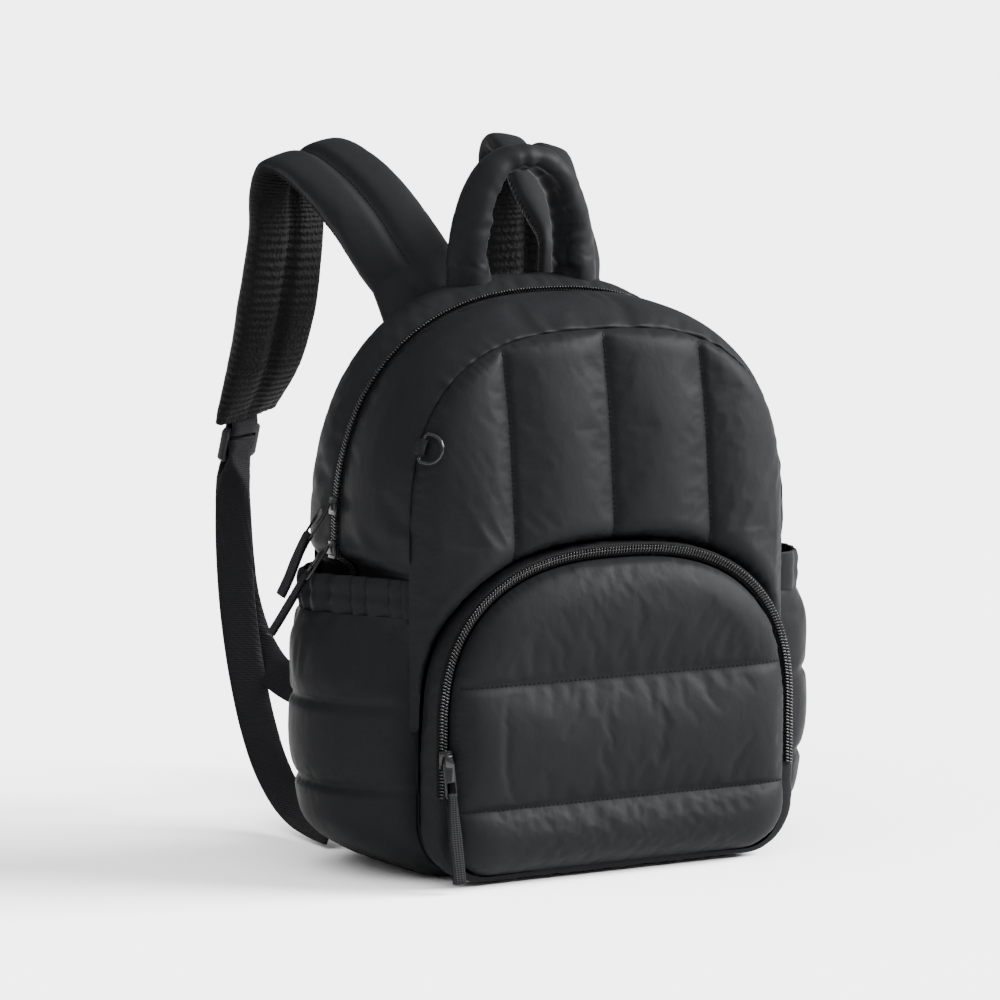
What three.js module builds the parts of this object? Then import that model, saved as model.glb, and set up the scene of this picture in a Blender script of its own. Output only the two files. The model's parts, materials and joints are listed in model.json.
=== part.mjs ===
// Quilted puffer backpack, in millimetres: +X is right seen from the front, -Y the front, +Z up.
// The origin is on the flat base, under the middle of the bag. Each piece is one closed solid.
import * as THREE from 'three';

// Driving dimensions of the bag
const HALF_WIDTH = 140;          // front seam, middle to side
const SPRING_Z = 212;            // where the straight sides turn into the arch
const FRONT_ARCH_RISE = 140;     // arch of the front seam above SPRING_Z
const CROWN_RISE = 165;          // highest line of the gusset above SPRING_Z
const FRONT_Y = -70;             // plane of the front seam
const BODY_DEPTH = 128;          // front seam to back seam
const CORNER_RADIUS = 35;        // bottom corners seen from the front
const SIDE_SWELL = 15;           // how far the gusset swells past the seams
const SIDE_TUCK = 6;             // how far the side pockets press the gusset in
const GUSSET_FOOT_Z = CORNER_RADIUS + 25; // gusset strips above, bottom boxing below
const PAD = 8;                   // padded wall
const SEAM_EDGE = 2.6;           // the same wall where it is sewn
const CLEARANCE = 0.3;           // gap that neighbouring pieces keep
const BACK_PUFF = 6;             // crown of the back panel
const GUSSET_PUFF = 3;           // crown of a gusset strip
const BASE_WALL = 5;

// Zips
const TAPE_WIDTH = 8;
const TAPE_THICKNESS = 1.2;
const COIL_WIDTH = 5.5;
const COIL_HEIGHT = 2.4;
const MAIN_ZIP_Y = 0;

// Front panel and front pocket
const PANEL_SWELL = 17;          // front panel at the pocket arch, forward of its seam
const CHANNEL_PUFF = 7;          // crown of one quilted channel
const POCKET_HALF_WIDTH = 134.6; // outer edge of the pocket boxing
const POCKET_SPRING_Z = 100;
const POCKET_ARCH_RISE = 115;
const POCKET_FLOOR_Z = 3;
const POCKET_DEPTH = 25;         // front seam plane to the pocket zip
const POCKET_FACE_PUFF = 15;     // crown of the pocket face past its zip
const POCKET_BACKING = 6;        // front panel where the pocket covers it
const POCKET_WALL = 3;
const POCKET_ZIP_FOOT_Z = GUSSET_FOOT_Z;
const POCKET_SLIDER_Z = 91;      // top of the pocket's slider

// Side pockets
const HEM_TOP_Z = SPRING_Z - 15;
const POCKET_RELIEF = 14;        // height over which the gusset comes out again above the hem
const SWELL_LOW = 0.45;          // share of the swell that is left behind the side pockets
const HEM_HEIGHT = 25;
const HEM_WALL = 4;
const HEM_GATHERS = 12;
const HEM_RIPPLE = 1.6;
const SIDE_POCKET_SWELL = 37;    // room between side pocket and gusset
const SIDE_POCKET_WALL = 5.5;

// Handle, straps and webbing
const HANDLE_RISE = 85;          // top of the handle above its foot
const HANDLE_FOOT_HALF_SPAN = 40;
const HANDLE_DEPTH = 30;
const HANDLE_Y = 30;
const STRAP_WIDTH = 62;
const STRAP_THICKNESS = 16;
const STRAP_GROOVE = 3.5;
const WEBBING_WIDTH = 25;
const WEBBING_THICKNESS = 1.6;
const BUCKLE_WALL = 4;
const BUCKLE_THICKNESS = 4.5;

// Metal parts
const RING_WIRE = 2.5;
const RING_HEIGHT = 21;
const RING_REACH = 18;
const RING_ABOVE_SPRING = 71;    // middle of the ring above the spring line
const RING_PLAY = 0.4;           // room round the bar inside its tab
const RING_STAND = 0.8;          // ring and tab stand this clear of the panel
const RING_TAB_WIDTH = 11;
const RING_TAB_WALL = 1.2;
const SLIDER_LENGTH = 11;
const SLIDER_WIDTH = 8.5;
const SLIDER_HEIGHT = 3;
const PULL_LENGTH = 27;
const PULL_WIDTH = 8;
const PULL_THICKNESS = 1.6;
const RIBBON_LENGTH = 54;
const MAIN_RIBBON_LENGTH = 44;
const RIBBON_WIDTH = 9;
const RIBBON_THICKNESS = 1.8;

const BACK_Y = FRONT_Y + BODY_DEPTH;
const ARCH_POWER_FRONT = 2.85;
const ARCH_POWER_BACK = 2.4;

// How the bag's section changes from the front seam (depth 0) to the back seam (depth 1).
// swell, rise and floor are shares of SIDE_SWELL, CROWN_RISE and CORNER_RADIUS.
const DEPTH_SECTIONS = [
  { depth: 0.00, swell: 0.00, rise: FRONT_ARCH_RISE / CROWN_RISE, floor: 0.17 },
  { depth: 0.14, swell: 0.42, rise: 0.890, floor: 0.00 },
  { depth: 0.27, swell: 0.74, rise: 0.927, floor: 0.00 },
  { depth: 0.55, swell: 1.00, rise: 0.964, floor: 0.00 },
  { depth: 0.75, swell: 0.90, rise: 1.000, floor: 0.00 },
  { depth: 0.90, swell: 0.50, rise: 0.985, floor: 0.12 },
  { depth: 1.00, swell: 0.10, rise: 0.950, floor: 0.52 },
];

const clamp01 = (value) => Math.min(1, Math.max(0, value));
const mix = (a, b, share) => a + (b - a) * share;
const smooth = (value) => { const s = clamp01(value); return s * s * (3 - 2 * s); };
// A padded strip's rise across its width: zero on both seams, full in the middle.
const lens = (share, power = 0.6) => Math.pow(Math.max(0, Math.sin(Math.PI * clamp01(share))), power);
const range = (count) => Array.from({ length: count }, (unused, index) => index);
const steps = (count) => range(count + 1).map((index) => index / count);

// Reads one named column of a table of sections, smoothly, at a share of its key column.
function readTable(rows, key, column, at) {
  const next = rows.findIndex((row) => row[key] >= at);
  if (next <= 0) return rows[next === 0 ? 0 : rows.length - 1][column];
  const [before, after] = [rows[next - 1], rows[next]];
  const share = (at - before[key]) / (after[key] - before[key]);
  const slope = (index) => {
    const low = rows[Math.max(0, index - 1)];
    const high = rows[Math.min(rows.length - 1, index + 1)];
    return (high[column] - low[column]) / (high[key] - low[key]);
  };
  const span = after[key] - before[key];
  const [s2, s3] = [share * share, share * share * share];
  return (2 * s3 - 3 * s2 + 1) * before[column] + (s3 - 2 * s2 + share) * span * slope(next - 1)
    + (3 * s2 - 2 * s3) * after[column] + (s3 - s2) * span * slope(next);
}

// A closed geometry from points and triangles, turned so that its faces point out.
function solid(points, triangles) {
  let volume = 0;
  for (const [a, b, c] of triangles) {
    volume += points[a].dot(new THREE.Vector3().crossVectors(points[b], points[c]));
  }
  const faces = volume < 0 ? triangles.map(([a, b, c]) => [a, c, b]) : triangles;
  const geometry = new THREE.BufferGeometry();
  const flat = points.flatMap((point) => [point.x, point.y, point.z]);
  geometry.setAttribute('position', new THREE.Float32BufferAttribute(flat, 3));
  geometry.setIndex(faces.flat());
  geometry.computeVertexNormals();
  return geometry;
}

// A padded sheet: a grid of outer points backed by a grid of inner points, closed along its rim.
function sheet(across, along, outer, inner) {
  const points = [];
  const triangles = [];
  const row = along.length;
  for (const side of [outer, inner]) {
    for (const u of across) for (const v of along) points.push(side(u, v));
  }
  const back = across.length * row;
  const quad = (a, b, c, d) => triangles.push([a, b, c], [a, c, d]);
  for (const i of range(across.length - 1)) {
    for (const j of range(row - 1)) {
      const a = i * row + j;
      quad(a, a + row, a + row + 1, a + 1);
      quad(back + a, back + a + 1, back + a + row + 1, back + a + row);
    }
  }
  const rim = [
    ...range(across.length - 1).map((i) => i * row),
    ...range(row - 1).map((j) => (across.length - 1) * row + j),
    ...range(across.length - 1).map((i) => (across.length - 1 - i) * row + row - 1),
    ...range(row - 1).map((j) => row - 1 - j),
  ];
  rim.forEach((a, index) => {
    const b = rim[(index + 1) % rim.length];
    quad(b, a, back + a, back + b);
  });
  return solid(points, triangles);
}

// A solid through a list of rings with the same count of points, capped or joined end to end.
// A cap that has to follow what it stands on gets its middle point from seat.
function loft(rings, closed = false, seat = (point) => point) {
  const size = rings[0].length;
  const points = rings.flat();
  const triangles = [];
  const last = closed ? rings.length : rings.length - 1;
  for (const i of range(last)) {
    for (const j of range(size)) {
      const [next, side] = [(i + 1) % rings.length, (j + 1) % size];
      const [a, b, c, d] = [i * size + j, i * size + side, next * size + j, next * size + side];
      triangles.push([a, b, d], [a, d, c]);
    }
  }
  if (!closed) {
    const cap = (ring, offset, flip) => {
      const middle = ring.reduce((sum, point) => sum.add(point), new THREE.Vector3()).divideScalar(size);
      points.push(seat(middle));
      const hub = points.length - 1;
      for (const j of range(size)) {
        const [a, b] = [offset + j, offset + (j + 1) % size];
        triangles.push(flip ? [hub, b, a] : [hub, a, b]);
      }
    };
    cap(rings[0], 0, true);
    cap(rings[rings.length - 1], (rings.length - 1) * size, false);
  }
  return solid(points, triangles);
}

const bag = new THREE.Group();
const finishes = {
  nylon: new THREE.MeshStandardMaterial({ color: 0x24252a, roughness: 0.62, metalness: 0 }),
  mesh: new THREE.MeshStandardMaterial({ color: 0x1b1c1f, roughness: 0.85, metalness: 0 }),
  webbing: new THREE.MeshStandardMaterial({ color: 0x1d1e21, roughness: 0.7, metalness: 0 }),
  zip: new THREE.MeshStandardMaterial({ color: 0x151517, roughness: 0.4, metalness: 0 }),
  plastic: new THREE.MeshStandardMaterial({ color: 0x131316, roughness: 0.35, metalness: 0 }),
  metal: new THREE.MeshStandardMaterial({ color: 0x3a3b40, roughness: 0.3, metalness: 0.9 }),
};
function place(name, geometry, finish) {
  const mesh = new THREE.Mesh(geometry, finishes[finish]);
  mesh.name = name;
  bag.add(mesh);
  return mesh;
}

// Section of the bag: half width, arch and floor at a depth share, all pulled in by an inset.
const depthAt = (y) => (y - FRONT_Y) / BODY_DEPTH;
const swellAt = (depth) => SIDE_SWELL * readTable(DEPTH_SECTIONS, 'depth', 'swell', depth);
const riseAt = (depth) => CROWN_RISE * readTable(DEPTH_SECTIONS, 'depth', 'rise', depth);
const floorAt = (depth) => CORNER_RADIUS * Math.max(0, readTable(DEPTH_SECTIONS, 'depth', 'floor', depth));
const powerAt = (depth) => mix(ARCH_POWER_FRONT, ARCH_POWER_BACK, smooth(depth * 2));
function halfWidthAt(depth, z) {
  const free = smooth((z - HEM_TOP_Z) / POCKET_RELIEF);
  return HALF_WIDTH + swellAt(depth) * mix(SWELL_LOW, 1, free) - SIDE_TUCK * (1 - free);
}

// A point of an upright arch: angle 0 is the left spring, PI the right one.
function archPoint(angle, halfWidth, rise, power) {
  const [c, s] = [-Math.cos(angle), Math.sin(angle)];
  const x = Math.sign(c) * Math.pow(Math.abs(c), 2 / power) * halfWidth;
  return [x, Math.pow(Math.max(0, s), 2 / power) * rise];
}

// Stations up the left side of the gusset, over the arch and down the right side.
const HEM_RELIEF_LEVELS = [HEM_TOP_Z, HEM_TOP_Z + POCKET_RELIEF / 2];
const sideLevels = (foot) => [0, 0.4, 0.75].map((share) => mix(foot, SPRING_Z, share))
  .concat(HEM_RELIEF_LEVELS).sort((a, b) => a - b);
function wallStations(foot, archSteps = 20) {
  const levels = sideLevels(foot);
  return [
    ...levels.map((z) => ({ side: -1, z })),
    ...steps(archSteps).map((share) => ({ angle: share * Math.PI })),
    ...levels.reverse().map((z) => ({ side: 1, z })),
  ];
}
function wallPoint(station, y, inset = 0) {
  const depth = depthAt(y);
  if (station.angle === undefined) {
    return new THREE.Vector3(station.side * (halfWidthAt(depth, station.z) - inset), y, station.z);
  }
  const [share, rise] = archPoint(station.angle, 1, riseAt(depth) - inset, powerAt(depth));
  return new THREE.Vector3(share * (halfWidthAt(depth, SPRING_Z + rise) - inset), y, SPRING_Z + rise);
}

// A strip of the gusset between two planes, padded between its seams.
function gussetStrip(fromY, toY) {
  const surface = (share, station, wall) => {
    const swell = lens(share);
    const inset = wall * mix(SEAM_EDGE, PAD, swell) - GUSSET_PUFF * swell;
    return wallPoint(station, mix(fromY, toY, share), inset);
  };
  const across = [0, 0.12, 0.4, 0.7, 0.9, 1];
  const foot = GUSSET_FOOT_Z + CLEARANCE;
  return sheet(across, wallStations(foot), (u, v) => surface(u, v, 0), (u, v) => surface(u, v, 1));
}
const zipEdge = TAPE_WIDTH / 2 + CLEARANCE;
place('gusset_front', gussetStrip(FRONT_Y + CLEARANCE / 2, MAIN_ZIP_Y - zipEdge), 'nylon');
place('gusset_rear', gussetStrip(MAIN_ZIP_Y + zipEdge, BACK_Y - CLEARANCE / 2), 'nylon');

// Cross-section of a zip: tape with the closed coil standing on it. Columns: across, height.
const ZIP_SECTION = [
  [-TAPE_WIDTH / 2, 0], [-COIL_WIDTH / 2, 0], [-COIL_WIDTH * 0.32, COIL_HEIGHT],
  [COIL_WIDTH * 0.32, COIL_HEIGHT], [COIL_WIDTH / 2, 0], [TAPE_WIDTH / 2, 0],
  [TAPE_WIDTH / 2, -TAPE_THICKNESS], [-TAPE_WIDTH / 2, -TAPE_THICKNESS],
];
const zipRings = wallStations(GUSSET_FOOT_Z + CLEARANCE).map((station) => (
  ZIP_SECTION.map(([across, height]) => wallPoint(station, MAIN_ZIP_Y + across, -height))
));
place('main_zip', loft(zipRings), 'zip');

// Bottom boxing: up one side to the gusset, round both corners and flat underneath.
const CORNER_CENTRE_X = HALF_WIDTH - CORNER_RADIUS;
function basePoint(station, y, inset = 0) {
  const depth = depthAt(y);
  const floor = floorAt(depth);
  if (station.z !== undefined) {
    return new THREE.Vector3(station.side * (halfWidthAt(depth, station.z) - inset), y, station.z);
  }
  if (station.across !== undefined) {
    return new THREE.Vector3(station.across * CORNER_CENTRE_X, y, floor + inset);
  }
  const reach = halfWidthAt(depth, 0) - inset - CORNER_CENTRE_X;
  const x = CORNER_CENTRE_X + reach * Math.cos(station.corner);
  const z = floor + CORNER_RADIUS - (CORNER_RADIUS - inset) * Math.sin(station.corner);
  return new THREE.Vector3(station.side * x, y, z);
}
const cornerAngles = [0, 0.25, 0.5, 0.75].map((share) => share * Math.PI / 2);
const baseSide = (side) => [
  { side, z: GUSSET_FOOT_Z - CLEARANCE / 2 },
  ...cornerAngles.map((corner) => ({ side, corner })),
];
const baseStations = [
  ...baseSide(-1),
  ...[-1, -0.5, 0, 0.5, 1].map((across) => ({ across })),
  ...baseSide(1).reverse(),
];
function basePiece() {
  const across = [0, 0.07, 0.14, 0.45, 0.76, 0.9, 1];
  const y = (share) => mix(FRONT_Y + CLEARANCE / 2, BACK_Y - CLEARANCE / 2, share);
  const wall = (share) => mix(SEAM_EDGE, BASE_WALL, lens(share));
  return sheet(across, baseStations, (u, v) => basePoint(v, y(u)), (u, v) => basePoint(v, y(u), wall(u)));
}
place('bottom_boxing', basePiece(), 'nylon');

// Heights of an outline with an arched top and round bottom corners.
const archZ = (x, halfWidth, spring, rise, power) => (
  spring + rise * Math.pow(1 - Math.pow(clamp01(Math.abs(x) / halfWidth), power), 1 / power)
);
function cornerZ(x, halfWidth, floor, radius) {
  const past = Math.min(radius, Math.max(0, Math.abs(x) - (halfWidth - radius)));
  return floor + radius - Math.sqrt(radius * radius - past * past);
}
// Quarter round: how full a padded edge is at a distance from its seam.
const fullness = (distance, reach) => {
  const short = 1 - clamp01(distance / reach);
  return Math.sqrt(1 - short * short);
};

// Front panel: flat behind the pocket, four padded channels above it.
const POCKET_POWER = 2.5;
const CHANNEL_LINES = [-1, -0.53, 0, 0.52, 1];
const OUTER_CHANNEL = [0, 0.03, 0.12, 0.3, 0.6, 0.9];
const INNER_CHANNEL = [0, 0.12, 0.5, 0.88];
const EDGE_REACH = 30;           // how far in from a seam a padded edge is still rounding
const PANEL_TOP_LEAN = 0.25;     // share of PANEL_SWELL that is left at the top seam
const POCKET_REVEAL = 1.8;       // front panel's quilted part stays this clear of the pocket boxing
const STEP_HEIGHT = 2;           // run of the step from the flat part up to the quilted part
function frontColumns() {
  const columns = [];
  CHANNEL_LINES.slice(0, -1).forEach((start, channel) => {
    const end = CHANNEL_LINES[channel + 1];
    let shares = INNER_CHANNEL;
    if (channel === 0) shares = OUTER_CHANNEL;
    if (channel === CHANNEL_LINES.length - 2) {
      shares = [0, ...OUTER_CHANNEL.slice(1).reverse().map((share) => 1 - share)];
    }
    shares.forEach((share) => columns.push({ x: mix(start, end, share) * HALF_WIDTH, share }));
  });
  columns.push({ x: HALF_WIDTH, share: 1 });
  return columns;
}
const panelTop = (x) => archZ(x, HALF_WIDTH, SPRING_Z, FRONT_ARCH_RISE, ARCH_POWER_FRONT);
const pocketCut = (x) => archZ(
  x, POCKET_HALF_WIDTH + POCKET_REVEAL, POCKET_SPRING_Z, POCKET_ARCH_RISE + POCKET_REVEAL, POCKET_POWER,
);
const panelApex = SPRING_Z + FRONT_ARCH_RISE;
const pocketApex = POCKET_SPRING_Z + POCKET_ARCH_RISE;
function frontPanelY(x, z, share) {
  const room = Math.min(HALF_WIDTH - Math.abs(x), panelTop(x) - z);
  const edge = Math.sin(Math.PI / 2 * clamp01(room / (2 * EDGE_REACH)));
  const lean = PANEL_SWELL * mix(1, PANEL_TOP_LEAN, clamp01((z - pocketApex) / (panelApex - pocketApex)));
  const above = fullness(z - pocketCut(x) - STEP_HEIGHT, EDGE_REACH / 2);
  const puff = CHANNEL_PUFF * lens(share) * above * fullness(panelTop(x) - z, EDGE_REACH / 2);
  return FRONT_Y - SEAM_EDGE - edge * lean * mix(0.55, 1, above) - puff;
}
const panelRows = [
  ...[0, 0.35, 0.7, 1].map((share) => ({ part: 'flat', share })),
  ...[0, 0.04, 0.12, 0.3, 0.6, 0.85, 0.96, 1].map((share) => ({ part: 'quilted', share })),
];
function frontPanelPoint(column, row, back) {
  const { x, share } = column;
  const inner = FRONT_Y - CLEARANCE / 2;
  if (row.part === 'flat') {
    const z = mix(cornerZ(x, HALF_WIDTH, floorAt(0), CORNER_RADIUS), pocketCut(x), row.share);
    return new THREE.Vector3(x, back ? inner : FRONT_Y - POCKET_BACKING, z);
  }
  const z = mix(pocketCut(x) + STEP_HEIGHT, panelTop(x), row.share);
  const outer = frontPanelY(x, z, share);
  const edge = fullness(Math.min(HALF_WIDTH - Math.abs(x), panelTop(x) - z), EDGE_REACH);
  return new THREE.Vector3(x, back ? Math.min(inner, outer + mix(SEAM_EDGE, PAD, edge)) : outer, z);
}
place('front_panel', sheet(
  frontColumns(), panelRows,
  (column, row) => frontPanelPoint(column, row, false), (column, row) => frontPanelPoint(column, row, true),
), 'nylon');

// Back panel: one padded sheet over the back seam, level with the crown behind the zip.
const backColumns = [-1, -0.985, -0.93, -0.8, -0.5, -0.17, 0.17, 0.5, 0.8, 0.93, 0.985, 1];
const backRows = [0, 0.03, 0.1, 0.3, 0.55, 0.8, 0.93, 0.98, 1];
function backPanelPoint(share, row, back) {
  const halfWidth = HALF_WIDTH;
  const x = share * halfWidth;
  const top = archZ(x, halfWidth, SPRING_Z, riseAt(1), ARCH_POWER_BACK);
  const low = cornerZ(x, halfWidth, floorAt(1), CORNER_RADIUS);
  const z = mix(low, top, row);
  const edge = fullness(Math.min(halfWidth - Math.abs(x), top - z, z - low), EDGE_REACH);
  const outer = BACK_Y + SEAM_EDGE + BACK_PUFF * edge;
  const inner = Math.max(BACK_Y + CLEARANCE / 2, outer - mix(SEAM_EDGE, PAD, edge));
  return new THREE.Vector3(x, back ? inner : outer, z);
}
place('back_panel', sheet(
  backColumns, backRows,
  (share, row) => backPanelPoint(share, row, false), (share, row) => backPanelPoint(share, row, true),
), 'mesh');

// Front pocket: boxing band all round, zip over the arch, quilted face inside it.
const POCKET_ZIP_Y = FRONT_Y - POCKET_DEPTH;
const POCKET_FLARE = 4;          // boxing is this much wider at its back along the straight sides
const BOXING_LIP = POCKET_WALL + 0.6;
const FACE_REVEAL = TAPE_WIDTH + 1;
const pocketArch = steps(16).map((share) => ({ angle: share * Math.PI }));
const pocketCorner = (side) => [0, 0.33, 0.67].map((share) => (
  { side, corner: share * Math.PI / 2, below: true }
));
const pocketSide = (side) => [
  { side, z: mix(POCKET_ZIP_FOOT_Z, POCKET_SPRING_Z, 0.5) },
  { side, z: POCKET_ZIP_FOOT_Z + CLEARANCE },
  { side, z: POCKET_ZIP_FOOT_Z - CLEARANCE, below: true },
  ...pocketCorner(side),
];
const pocketFloor = [1, 0, -1].map((across) => ({ across, below: true }));
function pocketPoint(station, inset, y) {
  const halfWidth = POCKET_HALF_WIDTH - inset;
  if (station.angle !== undefined) {
    const [x, rise] = archPoint(station.angle, halfWidth, POCKET_ARCH_RISE - inset, POCKET_POWER);
    return new THREE.Vector3(x, y, POCKET_SPRING_Z + rise);
  }
  if (station.z !== undefined) return new THREE.Vector3(station.side * halfWidth, y, station.z);
  const centre = POCKET_HALF_WIDTH - CORNER_RADIUS;
  if (station.across !== undefined) {
    return new THREE.Vector3(station.across * centre, y, POCKET_FLOOR_Z + inset);
  }
  const radius = CORNER_RADIUS - inset;
  const x = centre + radius * Math.cos(station.corner);
  const z = POCKET_FLOOR_Z + CORNER_RADIUS - radius * Math.sin(station.corner);
  return new THREE.Vector3(station.side * x, y, z);
}
function pocketBoxingRing(station) {
  const backY = FRONT_Y - POCKET_BACKING - CLEARANCE;
  const frontY = station.below ? POCKET_ZIP_Y : POCKET_ZIP_Y + TAPE_THICKNESS + CLEARANCE;
  const narrowing = station.across === undefined ? (station.corner ?? 0) / (Math.PI / 2) : 1;
  const lip = station.below ? mix(TAPE_WIDTH, BOXING_LIP, narrowing) : BOXING_LIP;
  const lipY = frontY + POCKET_WALL * 0.8;
  const profile = [
    [0, backY], [0, frontY], [lip, frontY], [lip, lipY], [POCKET_WALL, lipY], [POCKET_WALL, backY],
  ];
  return profile.map(([inset, y]) => {
    const point = pocketPoint(station, inset, y);
    const low = smooth((point.z - POCKET_FLOOR_Z) / CORNER_RADIUS);
    const straight = low * smooth((POCKET_SPRING_Z + CORNER_RADIUS / 2 - point.z) / CORNER_RADIUS);
    const share = (y - frontY) / (backY - frontY);
    point.x += Math.sign(point.x) * POCKET_FLARE * straight * share;
    return point;
  });
}
const boxingStations = [...pocketArch, ...pocketSide(1), ...pocketFloor, ...pocketSide(-1).reverse()];
place('pocket_boxing', loft(boxingStations.map(pocketBoxingRing), true), 'nylon');

const pocketZipSide = (side) => [0, 0.5].map((share) => (
  { side, z: mix(POCKET_ZIP_FOOT_Z + 3 * CLEARANCE, POCKET_SPRING_Z, share) }
));
const pocketZipStations = [...pocketZipSide(-1), ...pocketArch, ...pocketZipSide(1).reverse()];
place('pocket_zip', loft(pocketZipStations.map((station) => (
  ZIP_SECTION.map(([across, height]) => (
    pocketPoint(station, TAPE_WIDTH / 2 - across, POCKET_ZIP_Y - height)
  ))
))), 'zip');

const POCKET_QUILT_LINES = [0, 0.22, 0.62, 1];
const FACE_ROWS = [               // rows of points up each channel of the face
  [0, 0.06, 0.25, 0.55, 0.85],
  [0, 0.06, 0.25, 0.5, 0.75, 0.94],
  [0, 0.06, 0.25, 0.5, 0.7, 0.85, 0.95, 0.997],
];
const faceHalfWidth = POCKET_HALF_WIDTH - FACE_REVEAL;
const faceRise = POCKET_ARCH_RISE - FACE_REVEAL;
const faceFloor = POCKET_FLOOR_Z + BOXING_LIP + CLEARANCE;
const faceCorner = CORNER_RADIUS - TAPE_WIDTH / 2;
const FACE_COLUMNS = [-1, -0.97, -0.86, -0.5, 0, 0.5, 0.86, 0.97, 1];
function faceRows() {
  const top = POCKET_SPRING_Z + faceRise;
  return FACE_ROWS.flatMap((shares, channel) => shares.map((share) => ({
    share, z: mix(faceFloor, top, mix(POCKET_QUILT_LINES[channel], POCKET_QUILT_LINES[channel + 1], share)),
  })));
}
function faceHalfWidthAt(z) {
  if (z > POCKET_SPRING_Z) {
    const share = Math.min(1, (z - POCKET_SPRING_Z) / faceRise);
    return faceHalfWidth * Math.pow(1 - Math.pow(share, POCKET_POWER), 1 / POCKET_POWER);
  }
  const drop = Math.max(0, faceFloor + faceCorner - z);
  return faceHalfWidth - faceCorner + Math.sqrt(faceCorner * faceCorner - drop * drop);
}
function facePoint(row, share, back) {
  const halfWidth = faceHalfWidthAt(row.z);
  const x = share * halfWidth;
  const roof = archZ(x, faceHalfWidth, POCKET_SPRING_Z, faceRise, POCKET_POWER);
  const ground = cornerZ(x, faceHalfWidth, faceFloor, faceCorner);
  const room = Math.min((1 - Math.abs(share)) * halfWidth, roof - row.z, row.z - ground);
  const edge = fullness(room, EDGE_REACH);
  const outer = POCKET_ZIP_Y - POCKET_FACE_PUFF * edge * mix(0.55, 1, lens(row.share));
  return new THREE.Vector3(x, back ? outer + mix(SEAM_EDGE, PAD, edge) : outer, row.z);
}
place('pocket_face', sheet(
  faceRows(), FACE_COLUMNS,
  (row, share) => facePoint(row, share, false), (row, share) => facePoint(row, share, true),
), 'nylon');

// Side pockets: the room between pocket and gusset along the height, as a share of SIDE_POCKET_SWELL.
const HEM_FOOT_Z = HEM_TOP_Z - HEM_HEIGHT;
const SIDE_POCKET_ROWS = [
  { height: 0.00, room: 0.00 },
  { height: 0.20, room: 0.66 },
  { height: 0.28, room: 0.82 },
  { height: 0.355, room: 0.80 },
  { height: 0.43, room: 0.93 },
  { height: 0.52, room: 1.00 },
  { height: 0.61, room: 0.98 },
  { height: 0.675, room: 0.90 },
  { height: 0.75, room: 0.97 },
  { height: 0.88, room: 0.95 },
  { height: 1.00, room: 0.74 },
  { height: 1.15, room: 0.72 },
];
const roomAt = (z) => SIDE_POCKET_SWELL * readTable(SIDE_POCKET_ROWS, 'height', 'room', z / HEM_FOOT_Z);
const sidePocketStations = [
  ...[1, 0.94, 0.86, 0.75, 0.675, 0.61, 0.52, 0.43, 0.355].map((share) => ({
    z: share * HEM_FOOT_Z - CLEARANCE,
  })),
  ...cornerAngles.map((corner) => ({ corner })),
];
const SIDE_LAY = 3 * CLEARANCE;    // room between side pocket and gusset where they are sewn together
const SIDE_POCKET_COLUMNS = [0, 0.04, 0.14, 0.32, 0.5, 0.68, 0.86, 0.96, 1];
const SIDE_SEAM_INSET = 0.6;     // side pocket's edges stay inside both seam planes by this much
const sidePocketY = (share) => mix(FRONT_Y + SIDE_SEAM_INSET, BACK_Y - SIDE_SEAM_INSET, share);
function sidePocketPoint(side, share, station, wall) {
  const y = sidePocketY(share);
  const point = basePoint({ side: 1, ...station }, y);
  const level = station.corner === undefined ? 1 : Math.cos(station.corner);
  const room = roomAt(point.z) * lens(share, 0.5) * level;
  const thickness = wall * mix(SEAM_EDGE, SIDE_POCKET_WALL, lens(share)) * level;
  point.x = side * (point.x + SIDE_LAY / level + room + thickness);
  return point;
}
function hemPoint(side, share, z, wall) {
  const y = sidePocketY(share);
  const gather = HEM_RIPPLE * (1 - Math.cos(2 * Math.PI * HEM_GATHERS * share)) / 2;
  const room = roomAt(z) * lens(share, 0.5);
  const thickness = (gather + wall * HEM_WALL) * lens(share, 0.3) + wall * SEAM_EDGE / 2;
  const x = halfWidthAt(depthAt(y), Math.min(z, HEM_TOP_Z)) + SIDE_LAY + room + thickness;
  return new THREE.Vector3(side * x, y, z);
}
for (const [suffix, side] of [['left', -1], ['right', 1]]) {
  place(`side_pocket_${suffix}`, sheet(
    SIDE_POCKET_COLUMNS, sidePocketStations,
    (u, v) => sidePocketPoint(side, u, v, 1), (u, v) => sidePocketPoint(side, u, v, 0),
  ), 'nylon');
  place(`pocket_hem_${suffix}`, sheet(
    steps(2 * HEM_GATHERS), [HEM_FOOT_Z, HEM_FOOT_Z + HEM_HEIGHT / 2, HEM_TOP_Z],
    (u, v) => hemPoint(side, u, v, 1), (u, v) => hemPoint(side, u, v, 0),
  ), 'nylon');
}

// Outer height of the bag's crown at a place, with the padding of the rear gusset strip.
function crownZ(x, y) {
  const depth = depthAt(y);
  const from = MAIN_ZIP_Y + zipEdge;
  const puff = GUSSET_PUFF * lens((y - from) / (BACK_Y - from));
  const halfWidth = halfWidthAt(depth, SPRING_Z + riseAt(depth));
  return archZ(x, halfWidth + puff, SPRING_Z, riseAt(depth) + puff, powerAt(depth));
}

const onCrown = ({ x, y }) => new THREE.Vector3(x, y, crownZ(x, y) + 2 * CLEARANCE);

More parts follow.
